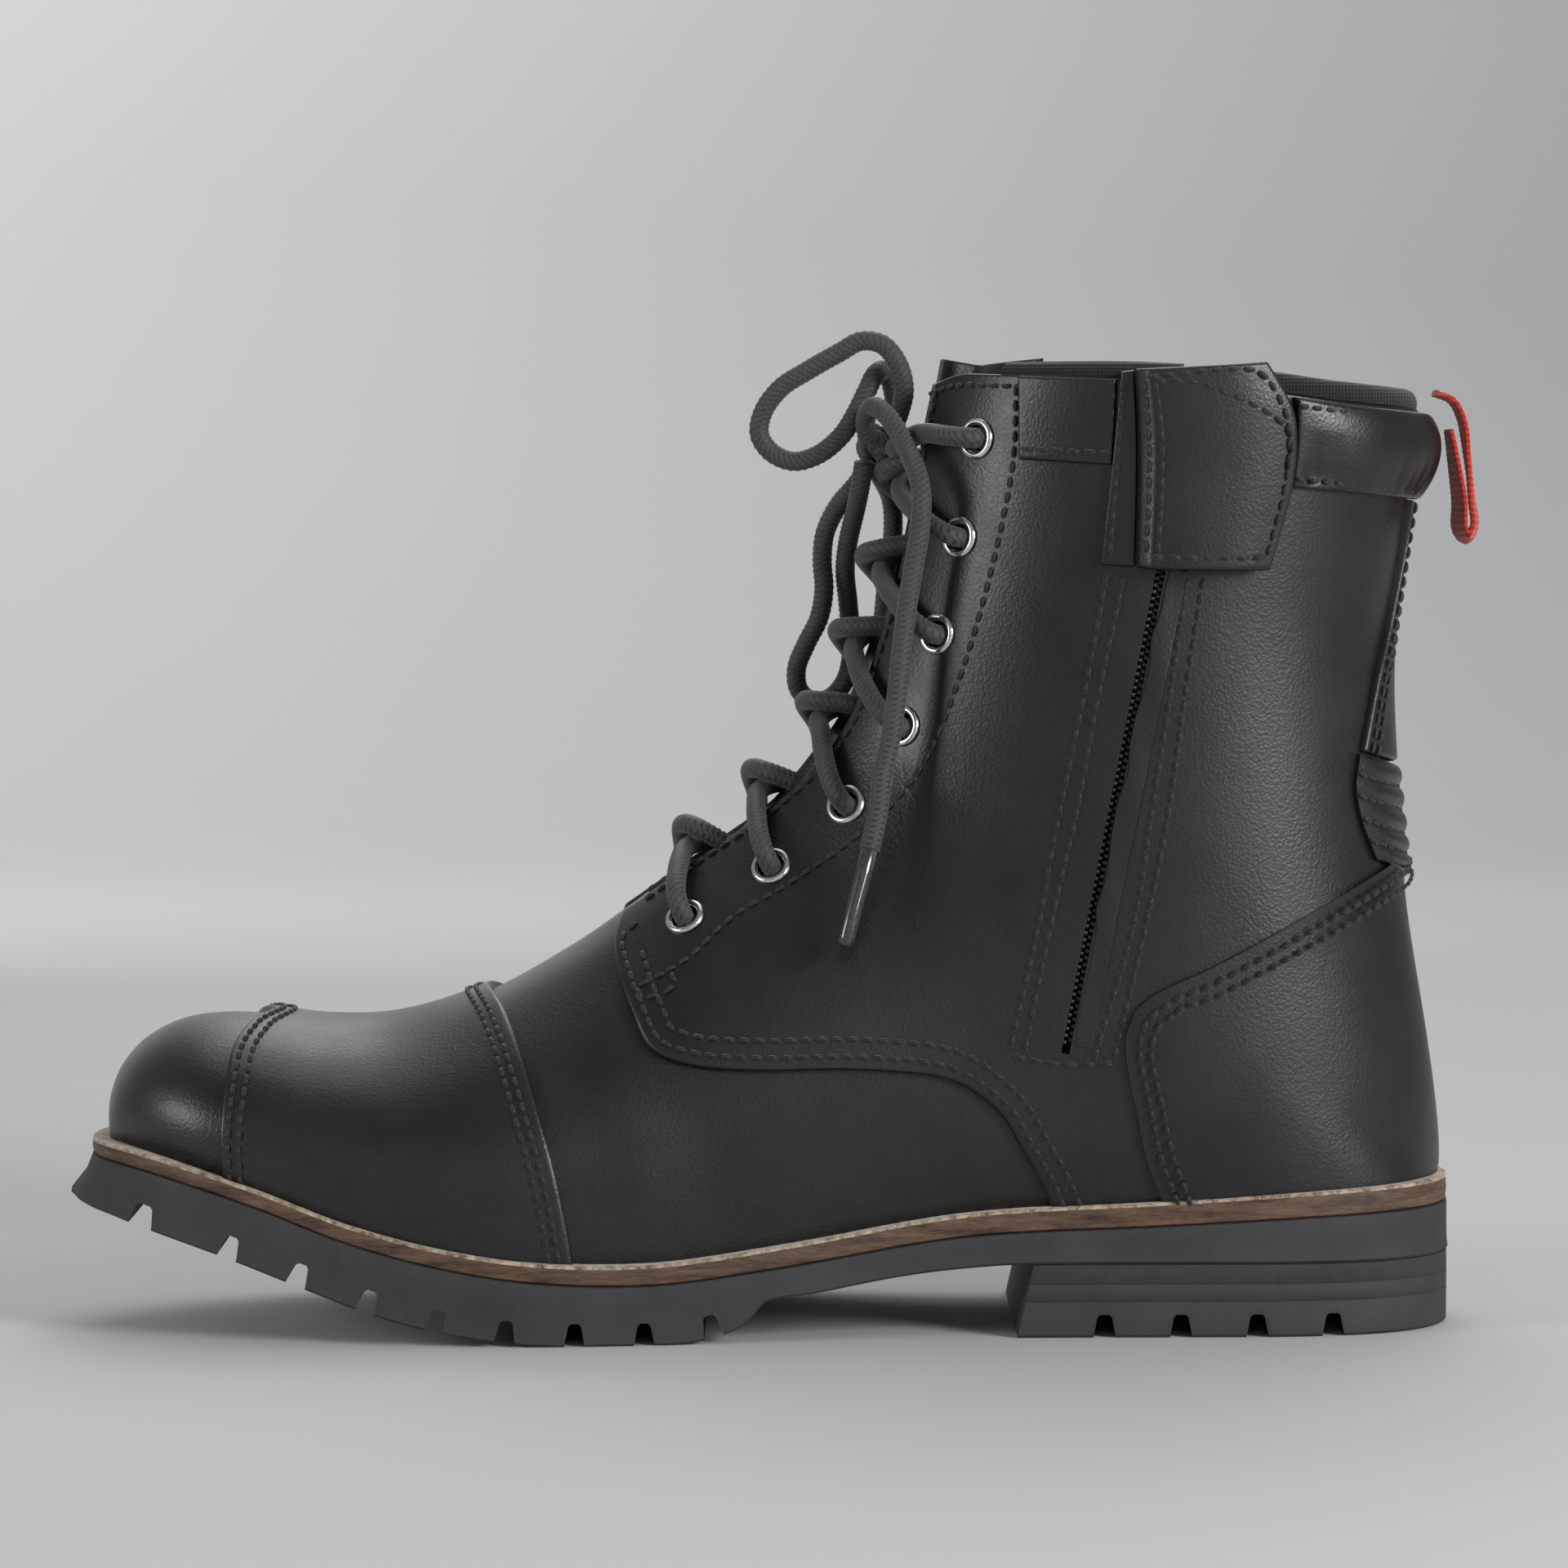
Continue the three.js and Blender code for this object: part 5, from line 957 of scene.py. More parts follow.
BAR_TACK = [[-29.5, 74.5], [-22.5, 77.6], [-21.9, 74.7], [-28.0, 72.4], [-29.5, 74.5]]
front_line = even(np.vstack([QUARTER_FRONT[:0:-1], [[QUARTER_FRONT[0, 0] + 0.1, EYESTAY_GAP + 0.05]]]), 90)
eyestay_line = eyestay(np.linspace(0.02, 0.995, 80))
for side_name, side in (("medial", 1), ("lateral", -1)):
    rows = [
        inset_line(front_line[2:], 2.6, -1), inset_line(front_line[2:-9], 6.2, -1),
        inset_line(eyestay_line, 2.4, -1), side_line(FACING_ROW), even(locate(BAR_TACK)),
        inset_line(even(RIM[[0, 1, 2, 3]], 30), 2.6, -1),
    ]
    if side > 0:
        rows += [side_line(row) for row in ZIP_ROWS.values()]
    lines = [(row * (1, side), QUARTER_TOP) for row in rows]
    sew(f"quarter_{side_name}_stitching", lines)

# ---------------------------------------------------------------- heel counter
# A stiff outside counter of the same hide, wrapped round the heel over both quarters, with
# a raw dyed edge and two rows of thread inside it.
TOP = (1.95, 4.25)  # depths of what is sewn over the quarters
COUNTER_FRONT = to_sole(locate([
    [77.6, 71.4], [75.8, 66], [75.9, 60], [78, 50], [80.5, 38.8], [82.3, 26],
]))
COUNTER_TOP = side_line([
    [77.6, 71.4], [81.5, 74.6], [94, 80.6], [108, 88], [122.5, 96], [133, 101.5],
])
T_COUNTER_TOP = locate([[135.4, 104.5]])[0, 0]
WALL_STEP = 0.001


def round_heel(places):
    """The same line, carried round the back seam to the outer side."""
    places = np.asarray(places)
    return np.vstack([places, places[-2::-1] * (1, -1) + (0, 2)])


counter_top = seam(round_heel(np.vstack([COUNTER_TOP, [[T_COUNTER_TOP, 1]]])))
counter_left = seam(COUNTER_FRONT[::-1])
counter_right = lambda v: counter_left(v) * (1, -1) + (0, 2)


def counter_foot(u):
    low, turn = COUNTER_FRONT[-1, 0], 2 * np.asarray(u) - 1
    return np.stack([T_HEEL + (low - T_HEEL) * np.abs(turn), 1 + WALL_STEP * turn], -1)


def heel_place(u, v):
    spots = coons(counter_foot, counter_top, counter_left, counter_right)(u, v)
    near = (np.asarray(u) < 0.5)[None]
    spots[..., 1] = np.where(near, np.minimum(spots[..., 1], 1), np.maximum(spots[..., 1], 1))
    return spots


points, faces = leather_on_last(heel_place, *TOP, (190, 75), 1.8, 0.7, 140)
piece("heel_counter_hide", points, faces, hide, "boot", ["heel_counter"], crease=46)
counter_edge = even(round_heel(np.vstack([COUNTER_FRONT[:0:-1], COUNTER_TOP, [[T_COUNTER_TOP, 1]]])), 160)
counter_edge = counter_edge[4:-4]
sew("heel_counter_stitching", [
    (inset_line(counter_edge, 3.2, -1), TOP[1]), (inset_line(counter_edge, 6.0, -1), TOP[1]),
])

# ---------------------------------------------------------------- back strip and flex panel
# A narrow strip up the back seam with a thick pinked edge, and below it a soft ribbed
# panel that lets the ankle bend. Both lie over the seam of the two quarters.
BACK_STRIP_EDGE = locate([
    [125.6, 126.4], [128.8, 142], [132.2, 156], [135.4, 172], [136.9, 181.6],
])
FLEX_PANEL_EDGE = locate([[129, 102.6], [125.8, 111], [124.4, 118], [125.2, 125.8]])


def back_place(edge):
    """The places between an edge on the zip side and its mirror image."""
    left = seam(edge)
    right = lambda v: left(v) * (1, -1) + (0, 2)

    def across(f):
        t, s = left(np.array([f]))[0]
        return lambda u: np.stack([np.full(len(u), t), s + (2 - 2 * s) * np.asarray(u)], -1)
    return coons(across(0.0), across(1.0), left, right)


points, faces = leather_on_last(back_place(BACK_STRIP_EDGE), TOP[0], TOP[1] - 0.2, (38, 58), 1.3, 0.9)
piece("back_strip_hide", points, faces, supple_hide, "boot", ["back_strip"])
RIBS = 5


def ribbed(across, up):
    """Depth of a padded ribbed panel: one half-sine hump for each rib."""
    edge = np.minimum(1, 9 * np.minimum(across, 1 - across))
    return TOP[1] - 1.0 + 1.5 * edge * np.abs(np.sin(np.pi * RIBS * up)) ** 0.5


flex_u, flex_v = edge_steps(34, 1.3), np.linspace(0, 1, 64)
flex_spots = back_place(FLEX_PANEL_EDGE)(flex_u, flex_v)
flex_across, flex_up = np.broadcast_arrays(flex_u[None], flex_v[:, None])
outside = on_last(flex_spots[..., 0], flex_spots[..., 1], ribbed(flex_across, flex_up))
inside = on_last(flex_spots[..., 0], flex_spots[..., 1], np.full(flex_across.shape, TOP[0]))
flex_points = np.vstack([outside.reshape(-1, 3), inside.reshape(-1, 3)])
flex_faces = slab_faces(len(flex_v), len(flex_u))
piece("flex_panel_hide", flex_points, flex_faces, supple_hide, "boot", ["flex_panel"], crease=60)
strip_edge = even(BACK_STRIP_EDGE, 50)
flex_edge = even(FLEX_PANEL_EDGE, 24)
sew("back_strip_stitching", [
    (places * (1, side) + (0, 1 - side), TOP[1] - 0.2)
    for side in (1, -1)
    for places in (inset_line(strip_edge, 2.2, -1), inset_line(strip_edge, 4.6, -1))
])
sew("flex_panel_stitching", [
    (np.stack([np.full(24, t), np.linspace(s, 2 - s, 24)], -1), TOP[1] - 0.9)
    for t, s in seam(FLEX_PANEL_EDGE)(np.arange(1, RIBS) / RIBS)
])

# ---------------------------------------------------------------- collar
# A band round the top: plain hide before the zip, and behind it a foam-filled pad that
# runs round the ankle. It is stitched down along its lower edge, which pulls it into folds.
COLLAR_LOW = locate([[54, 190], [73, 189], [113.4, 184], [126, 183]])
T_COLLAR_LOW = locate([[137.6, 181.7]])[0, 0]


def strip_place(low_places, high_places):
    """The places ruled between a lower and an upper seam."""
    low, high = seam(low_places), seam(high_places)
    return coons(low, high, straight(low, high, 0.0), straight(low, high, 1.0))


collar_high = locate([[54, 208.0], [74, 207.4]])
points, faces = leather_on_last(
    strip_place(COLLAR_LOW[:2], collar_high), TOP[0] - 0.4, TOP[0] + 1.5, (21, 19), 1.3, 0.7
)
piece("collar_front_hide", points, faces, supple_hide, "boot", ["collar_front"])
sew("collar_front_stitching", [(even(COLLAR_LOW[:2] + (0.2, 0), 10), TOP[0] + 1.5)])


def far_side(places):
    return np.asarray(places)[::-1] * (1, -1) + (0, 2)


COLLAR_START_LOW, COLLAR_START_HIGH = locate([[109.8, 184.4], [110.8, 204.3]])
rear_low = np.vstack([[COLLAR_START_LOW], COLLAR_LOW[3:], [[T_COLLAR_LOW, 1]], far_side(COLLAR_LOW)])
rear_high = np.vstack([
    [COLLAR_START_HIGH], locate([[122, 202.8]]), [[T_RIM_BACK, 1]],
    far_side(locate([[54, 208.2], [74, 207.8], [107, 204.8], [122, 202.8]])),
]) - (0.05, 0)
fold_rows = np.random.default_rng(7)
FOLDS = [(fold_rows.uniform(0.02, 0.98), fold_rows.uniform(0.006, 0.014), fold_rows.uniform(0.25, 0.7)) for _ in range(46)]


def padding(across, up):
    """Depth of the pad: a sine bulge, fullest at the back, less narrow folds at its lower seam."""
    back = np.exp(-(((across - 0.3) / 0.22) ** 2))
    ends = np.sin(np.pi * np.minimum(1, 8 * across + 0.1) / 2) * np.minimum(1, 14 * (1 - across) + 0.1)
    bulge = 3.7 * np.sin(np.pi * np.clip(up, 0, 1)) ** 0.7 * (0.4 + 0.6 * back) * ends
    folds = sum(depth * np.exp(-(((across - at) / wide) ** 2)) for at, wide, depth in FOLDS)
    return TOP[1] + bulge - folds * np.clip(1 - 1.6 * up, 0, 1) * np.sin(np.pi * np.clip(6 * up, 0, 1) / 2)


points, faces = leather_on_last(strip_place(rear_low, rear_high), TOP[0], padding, (165, 21), 1.0, 0.8)
collar_pad = piece("collar_rear_pad", points, faces, supple_hide, "boot", ["collar_rear"], crease=70)
collar_rows = [
    (inset_line(even(rear_low, 120), 1.9, 1), TOP[1] + 0.2),
    (inset_line(even(rear_high, 120), 1.7, -1), TOP[1] + 0.3),
]
sew("collar_rear_stitching", collar_rows)

# ---------------------------------------------------------------- rim binding
# Black textile folded over the top edge of leather and lining, in two lengths that stop
# at the zip.


def woven(name, dark, light, pitch, rough=0.85, place="Object"):
    """A close plain weave: two crossed sets of fine waves, one up and one along."""
    material, shader, spot = surface(name, place, Specular_IOR_Level=0.25)
    shader.inputs["Sheen Weight"].default_value = 0.25
    shader.inputs["Sheen Roughness"].default_value = 0.5
    bands = [
        spot.node(
            "ShaderNodeTexWave", {"bands_direction": way},
            {"Vector": spot, "Scale": pitch, "Distortion": 0.6, "Detail": 1.0, "Detail Scale": 2.0},
        )
        for way in ("X", "Z")
    ]
    height = 0.5 * bands[0] + 0.5 * bands[1]
    fuzz = spot.noise(1900, 3)
    feed(shader, Base_Color=(0.6 * height + 0.4 * fuzz).colour((0.3, dark), (0.75, light)))
    feed(shader, Roughness=rough + 0.12 * fuzz, Normal=height.bump(0.55, 0.0004, fuzz.bump(0.4, 0.0002)))
    return material


binding_cloth = woven("binding_cloth", (0.006, 0.006, 0.006), (0.022, 0.022, 0.023), 420)
RIM_LIFT = 3.2 / 13


def rim_place(edge):
    line = seam(edge)
    return lambda u, v: line(u)[None] + np.stack([RIM_LIFT * np.asarray(v), 0 * np.asarray(v)], -1)[:, None]


front_rim = locate([[50, 208.9], [74, 208.5], [87.6, 207.7]])
rear_rim = np.vstack([
    locate([[95.4, 206.9], [107, 205.7], [122, 203.7]]), [[T_RIM_BACK + 0.08, 1]],
    far_side(locate([[50, 209.1], [74, 208.7], [107, 205.7], [122, 203.7]])),
])
for name, edge, length in (("rim_binding_front", front_rim, 38), ("rim_binding_rear", rear_rim, 185)):
    u, v = np.linspace(0, 1, length), np.linspace(0, 1, 9)
    spots = rim_place(edge)(u, v)
    roll = 2.6 * np.sqrt(1 - v ** 2)[:, None] + np.zeros(len(u))
    shell_points = [
        on_last(spots[..., 0] - (0.06 - 0.06 * np.sign(v))[:, None], spots[..., 1], side * roll - 0.9)
        for side in (1, -1)
    ]
    points = np.vstack([part.reshape(-1, 3) for part in shell_points])
    piece(f"{name}_cloth", points, slab_faces(len(v), len(u)), binding_cloth, "boot", [name], crease=60)

# ---------------------------------------------------------------- tongue
# Soft hide under the laces, sewn to the vamp at its root and free above, gently crowned.
TONGUE_WIDTH = 0.26
TONGUE_CROWN, TONGUE_SIDE = -0.3, LACE_BELOW - LACE / 2 - 0.9
tongue_from, tongue_to = VAMP_REAR[0, 0] + 0.3, LAST_END - 0.2


def tongue_place(u, v):
    across, up = np.broadcast_arrays(np.asarray(u)[None], np.asarray(v)[:, None])
    return np.stack([tongue_from + (tongue_to - tongue_from) * across, TONGUE_WIDTH * (2 * up - 1)], -1)


def tongue_top(u, v):
    """Depth of the tongue: a cosine from its crown to its edges, with a few soft creases."""
    sunk = np.minimum(1, np.abs(2 * v - 1) / 0.3)
    crown = TONGUE_SIDE + (TONGUE_CROWN - TONGUE_SIDE) * np.minimum(1, u / 0.08)
    crease = 0.3 * np.sin(31 * u + 2 * np.sin(9 * u)) * (1 - sunk)
    return crown + (TONGUE_SIDE - crown) * (1 - np.cos(np.pi * sunk)) / 2 - 0.3 + crease


points, faces = leather_on_last(
    tongue_place, lambda u, v: tongue_top(u, v) - LEATHER, tongue_top, (175, 45), 1.8, 0.7
)
piece("tongue_hide", points, faces, supple_hide, "boot", ["tongue"], crease=60)

# ---------------------------------------------------------------- zip
# Two textile tapes sewn behind the slot, each with a moulded coil whose teeth mesh.
ZIP_LENGTH = float(np.linalg.norm(ZIP_HIGH - ZIP_LOW))


def beside_zip(f, off):
    """Places beside the zip line: f of its length from the foot, and off to the heel side."""
    f, off = np.broadcast_arrays(f, off)
    x = ZIP_LOW[0] + (ZIP_HIGH[0] - ZIP_LOW[0]) * f + off * zip_run[1]
    z = ZIP_LOW[1] + (ZIP_HIGH[1] - ZIP_LOW[1]) * f - off * zip_run[0]
    return locate(np.stack([x.ravel(), z.ravel()], -1)).reshape(*f.shape, 2)


tape_cloth = woven("tape_cloth", (0.005, 0.005, 0.005), (0.018, 0.018, 0.019), 520)
coil_plastic, coil_shader, spot = surface("coil_plastic", Specular_IOR_Level=0.5)
feed(coil_shader, Base_Color=spot.noise(400, 2).colour((0.3, (0.006, 0.006, 0.006)), (0.7, (0.016, 0.016, 0.016))))
feed(coil_shader, Roughness=0.3 + 0.2 * spot.noise(900, 2))
TOOTH = 1.5
for name, side in (("front", -1), ("rear", 1)):
    f, off = np.linspace(0.015, 0.93, 90), np.linspace(0.15, 9, 8)
    spots = beside_zip(f[None], side * off[:, None])
    over = on_last(spots[..., 0], spots[..., 1], np.full(spots.shape[:2], -0.02))
    under = on_last(spots[..., 0], spots[..., 1], np.full(spots.shape[:2], -0.88))
    points = np.vstack([over.reshape(-1, 3), under.reshape(-1, 3)])
    piece(f"zip_tape_{name}_cloth", points, slab_faces(len(off), len(f)), tape_cloth, "boot", [f"zip_tape_{name}"])
    count = int(0.885 * ZIP_LENGTH / TOOTH)
    middle = 0.015 + 0.885 * (np.arange(count) + 0.25 + 0.25 * side) / count
    corner = np.linspace(0, 2 * np.pi, 8, endpoint=False)
    tooth = np.array([[0.06, 0.34], [0.3, 0.62], [1.25, 0.62], [1.6, 0.4]])  # off, height
    grid_off = np.broadcast_to(tooth[:, :1], (4, 8))
    grid_f = 0.52 * np.sin(corner)[None] / ZIP_LENGTH * np.ones((4, 1))
    grid_depth = 0.95 + tooth[:, 1:] * np.cos(corner)
    spots = beside_zip(middle[:, None, None] + grid_f, side * (grid_off + np.zeros((count, 1, 1))))
    points = on_last(spots[..., 0], spots[..., 1], grid_depth + np.zeros((count, 1, 1))).reshape(-1, 3)
    shape = grid_faces(4, 8, wrap=True).tolist() + [list(range(7, -1, -1)), list(range(24, 32))]
    faces = [[32 * k + index for index in face] for k in range(count) for face in shape]
    piece(f"zip_coil_{name}_teeth", points, faces, coil_plastic, "boot", [f"zip_coil_{name}"], crease=50)

GUARD_WAVE = 0.45


def guard_place(u, v):
    f, off = np.broadcast_arrays(0.012 + 0.69 * np.asarray(u)[None], np.asarray(v)[:, None])
    wave = GUARD_WAVE * (1 - off) * np.sin(19 * f + 2 * np.sin(31 * f))
    return beside_zip(f, 1.1 + 4.6 * off + wave)


def guard_top(u, v):
    """Depth of the guard: a low rise toward the slot, with slow swells; thinner at its foot."""
    rise = 0.36 + 0.14 * np.cos(0.5 * np.pi * v) + 0.1 * np.sin(23 * u + 3 * v)
    return OVER[1] + rise * (0.3 + 0.7 * np.clip(u / 0.35, 0, 1))


points, faces = leather_on_last(guard_place, OVER[1] - 0.4, guard_top, (104, 5), 1.3, 0.35)
piece("zip_guard", points, faces, supple_hide, "boot", ())

# ---------------------------------------------------------------- tab over the zip
# A flap of hide that folds back from the zip's head. It is sewn down by a narrow anchor
# in front and held shut behind by a hook patch on its back and a loop patch on the leg.
TAB_HINGE = seam(locate([[78, 167], [78.6, 188], [78, 209.6]]))
TAB_FREE = seam(locate([[104.2, 166.9], [108.4, 182.9], [109.7, 194.2], [108.8, 201.8], [103.7, 211.4]]))
PLATE_HIGH = OVER[1] + GAP + 0.7 + 1.4
PULL_HIGH = PLATE_HIGH + GAP + 1.0
TAB_INNER, TAB_START = PULL_HIGH + 0.6, 3.7


def across_tab(f):
    """A ruled line from the hinge to the free edge at a share of their lengths."""
    a, b = TAB_HINGE(np.array([f]))[0], TAB_FREE(np.array([f]))[0]
    return lambda u: a + (b - a) * np.asarray(u)[:, None]


def tab_under(u):
    rise = np.minimum(1, u / 0.1)
    fall = np.maximum(0, (u - 0.62) / 0.38)
    return TAB_START + (TAB_INNER - TAB_START) * rise - 0.9 * fall * fall


tab_place = coons(across_tab(0.0), across_tab(1.0), TAB_HINGE, TAB_FREE)
anchor_low, anchor_high = locate([[71, 167.6], [77.6, 167.2]]), locate([[75, 209], [77.6, 209.4]])
anchor_low[0] = locate([[70.6, 167.6]])[0]
points, faces = leather_on_last(strip_place(anchor_low, anchor_high), TOP[0], TOP[1], (6, 42), 0.9, 0.6)
piece("tab_anchor_hide", points, faces, supple_hide, "boot", ["tab_anchor"])
points, faces = leather_on_last(
    tab_place, lambda u, v: tab_under(u), lambda u, v: tab_under(u) + 2.0 + 0.25 * np.sin(np.pi * u),
    (32, 43), 1.0, 0.8,
)
piece("tab_flap_hide", points, faces, supple_hide, "tab", ["tab_flap"])


def on_tab(rows):
    """Places on the tab from shares across it and up it."""
    rows = np.asarray(rows, float)
    dense = smooth_line(rows, np.linspace(0, 1, 60))
    return np.array([tab_place(row[:1], row[1:])[0, 0] for row in dense]), dense[:, 0]


TAB_BORDER = [
    [[0.08, 0.05], [0.5, 0.05], [0.93, 0.05]], [[0.93, 0.05], [0.93, 0.5], [0.92, 0.9]],
    [[0.92, 0.9], [0.86, 0.955], [0.08, 0.95]], [[0.14, 0.06], [0.14, 0.5], [0.14, 0.94]],
    [[0.06, 0.06], [0.06, 0.5], [0.06, 0.94]],
    [[0.12, 0.93], [0.45, 0.9], [0.93, 0.6], [0.93, 0.4]],
]
anchor_rows = [(side_line([[75.4, 207.6], [74.0, 188], [72.6, 169.4]]), TOP[1])]
sew("tab_anchor_stitching", anchor_rows)
tab_rows = []
for row in TAB_BORDER:
    places, across = on_tab(row)
    tab_rows.append((places, float(np.mean(tab_under(across))) + 2.1))
points, faces = stitches(tab_rows)
sew_tab = piece("tab_stitching", points, faces, thread_black, "tab", (), crease=180)
hook_pile, hook_shader, spot = surface("hook_pile", Specular_IOR_Level=0.3)
feed(hook_shader, Base_Color=spot.noise(1400, 3).colour((0.3, (0.004, 0.004, 0.004)), (0.7, (0.03, 0.03, 0.03))))
feed(hook_shader, Roughness=0.8 + 0.2 * spot.noise(500, 2), Normal=spot.noise(2300, 3).bump(0.9, 0.0006))
hook_place = lambda u, v: tab_place(0.7 + 0.22 * np.asarray(u), 0.12 + 0.72 * np.asarray(v))
hook_under = lambda u, v: tab_under(0.7 + 0.22 * u) - 0.1 + 0 * v
points, faces = leather_on_last(hook_place, lambda u, v: hook_under(u, v) - 1.2, hook_under, (7, 31), 0.8, 0.3)
piece("tab_hook_pile", points, faces, hook_pile, "tab", ["tab_hook_patch"])
loop_front = seam(locate([[91.4, 168], [93.8, 182], [96.4, 196], [97.2, 200.5]]))
loop_rear = seam(locate([[105.3, 167.2], [108.3, 182.8], [109.2, 194], [108.4, 200.8]]))


def across_loop(f):
    a, b = loop_front(np.array([f]))[0], loop_rear(np.array([f]))[0]
    return lambda u: a + (b - a) * np.asarray(u)[:, None]


loop_place = coons(across_loop(0.0), across_loop(1.0), loop_front, loop_rear)
points, faces = leather_on_last(loop_place, TOP[0], 3.8, (13, 33), 0.8, 0.4)
piece("tab_loop_pile", points, faces, hook_pile, "boot", ["tab_loop_patch"])

# ---------------------------------------------------------------- heel pull
# A loop of red ribbed webbing sewn in at the back of the rim.
PULL_LOOP = [
    [145.6, 204.6], [149.4, 203], [151.6, 199], [153, 190], [154, 181], [154.6, 175.5],
    [153.2, 172.6], [151.5, 174.4], [151.2, 181], [149.9, 190], [148.8, 196.6],
]
WEBBING, WEBBING_WIDTH = 1.5, 11.0
red_web, web_shader, spot = surface("red_web", Specular_IOR_Level=0.25)
web_shader.inputs["Sheen Weight"].default_value = 0.3
ribs = spot.node("ShaderNodeTexWave", {"bands_direction": "Z"}, {"Vector": spot, "Scale": 230.0, "Distortion": 0.3})
warp = spot.node("ShaderNodeTexWave", {"bands_direction": "Y"}, {"Vector": spot, "Scale": 300.0, "Distortion": 0.3})
weave = 0.6 * ribs + 0.4 * warp
feed(web_shader, Base_Color=(0.7 * weave + 0.3 * spot.noise(900, 2)).colour((0.2, (0.34, 0.022, 0.012)), (0.85, (0.68, 0.06, 0.035))))
feed(web_shader, Roughness=0.7 + 0.2 * spot.noise(900, 2), Normal=weave.bump(0.8, 0.0007))
web_line = smooth_line([[x, 0, z] for x, z in PULL_LOOP], np.linspace(0, 1, 150)) + ORIGIN
web_run = np.gradient(web_line, axis=0)
web_run /= np.linalg.norm(web_run, axis=1, keepdims=True)
web_out = np.stack([-web_run[:, 2], 0 * web_run[:, 0], web_run[:, 0]], -1)
corner = np.linspace(0, 2 * np.pi, 28, endpoint=False)
web_wide = WEBBING_WIDTH / 2 * np.sign(np.cos(corner)) * np.abs(np.cos(corner)) ** 0.35
web_thick = WEBBING / 2 * np.sign(np.sin(corner)) * np.abs(np.sin(corner)) ** 0.6
ridge = 1 + 0.1 * np.sin(np.arange(150) * 2.1)[:, None]
WEB_TWIST = math.radians(10)
twist = (WEB_TWIST * np.sin(np.pi * np.clip(np.linspace(-0.25, 1, 150), 0, 1)))[:, None]
web_side = np.array([0, 1.0, 0]) * np.cos(twist) + web_out * np.sin(twist)
web_face = web_out * np.cos(twist) - np.array([0, 1.0, 0]) * np.sin(twist)
web_points = web_line[:, None] + web_face[:, None] * (web_thick * ridge)[..., None]
web_points = web_points + web_side[:, None] * web_wide[None, :, None]
web_faces = grid_faces(150, 28, wrap=True).tolist() + [list(range(27, -1, -1)), list(range(149 * 28, 150 * 28))]
piece("heel_pull_web", web_points.reshape(-1, 3), web_faces, red_web, "heel_pull", ["heel_pull"], crease=60)

# ---------------------------------------------------------------- sole
# A moulded rubber lug outsole and a separate heel block, under a thin leather midsole
# whose streaked edge shows. A cream thread runs along the midsole's upper edge.
OUTLINE = np.array([  # x, half width, sideways shift
    [-150.4, 0, -8], [-149.6, 9, -8], [-146.6, 19, -7.8], [-140, 29, -7.2], [-129, 38, -6.2],
    [-113, 45, -4.6], [-95, 49.6, -3], [-74, 53, -1], [-50, 54, 0], [-25, 51.8, 1],
    [2, 47, 1.5], [32, 41.8, 1.2], [62, 39.4, 0.7], [90, 38.4, 0.3], [113, 37, 0],
    [130, 32.4, 0], [141, 24, 0], [147.2, 12.5, 0], [148.9, 0, 0],
])


def cubic_rows(table, place):
    """Rows of a table read between its own rows by a cubic through four neighbours."""
    i = np.clip(np.floor(place).astype(int), 0, len(table) - 2)
    f = (place - i)[:, None]
    a, b, c, d = (table[np.clip(i + k, 0, len(table) - 1)] for k in (-1, 0, 1, 2))
    m, n = (c - a) / 2, (d - b) / 2
    return b + f * (m + f * (3 * (c - b) - 2 * m - n + f * (2 * b - 2 * c + m + n)))


def outline_at(w, grow):
    """The outline at shares w, moved outwards along its normal in the plane."""
    place = np.asarray(w) * (len(OUTLINE) - 1)
    at, ahead = cubic_rows(OUTLINE, place), cubic_rows(OUTLINE, np.minimum(place + 0.01, len(OUTLINE) - 1))
    behind = cubic_rows(OUTLINE, np.maximum(place - 0.01, 0))
    run, rise = (ahead - behind)[:, 0], (ahead - behind)[:, 1]
    length = np.maximum(np.hypot(run, rise), 1e-9)
    x, half = at[:, 0] - grow * rise / length, at[:, 1] + grow * run / length
    half = np.where((np.asarray(w) <= 0) | (np.asarray(w) >= 1), 0, np.maximum(half, 0))
    return x, half, at[:, 2]


def height_line(points):
    """A smooth height along the boot through given places; it never overshoots by much."""
    x, z = np.asarray(points, float).T
    slope = np.empty(len(x))
    slope[1:-1] = (z[2:] - z[:-2]) / (x[2:] - x[:-2])
    slope[0], slope[-1] = (z[1] - z[0]) / (x[1] - x[0]), (z[-1] - z[-2]) / (x[-1] - x[-2])

    def at(value):
        held = np.clip(value, x[0], x[-1])
        i = np.clip(np.searchsorted(x, held, side="left") - 1, 0, len(x) - 2)
        span = x[i + 1] - x[i]
        f = (held - x[i]) / span
        lean = f * (1 - f) * ((1 - f) * slope[i] - f * slope[i + 1]) * span
        return z[i] + (z[i + 1] - z[i]) * f * f * (3 - 2 * f) + lean
    return at


seat_line = height_line([
    [-151, 41.4], [-141.5, 40.6], [-133.8, 39.2], [-123, 36.4], [-110, 32.4], [-92.6, 26],
    [-73, 20.8], [-52, 17.6], [-26, 17], [2, 20.4], [41, 26.6], [83, 29], [122, 31.3], [149, 32.3],
])
tread_line = height_line([
    [-156, 28.2], [-143, 25.6], [-128, 21.6], [-115, 17.4], [-100, 11.8], [-87, 7], [-75, 3.6],
    [-60, 1], [-46, 0], [-22, 0], [-12, 1.6], [-5.5, 4.6], [-3, 8.4], [9, 10.4], [27, 13.6],
    [41, 15.2], [55, 16], [150, 16],
])
midsole_bottom = lambda x: seat_line(x) - 3.2 - 2.2 * np.clip(x / 304 + 0.5, 0, 1)


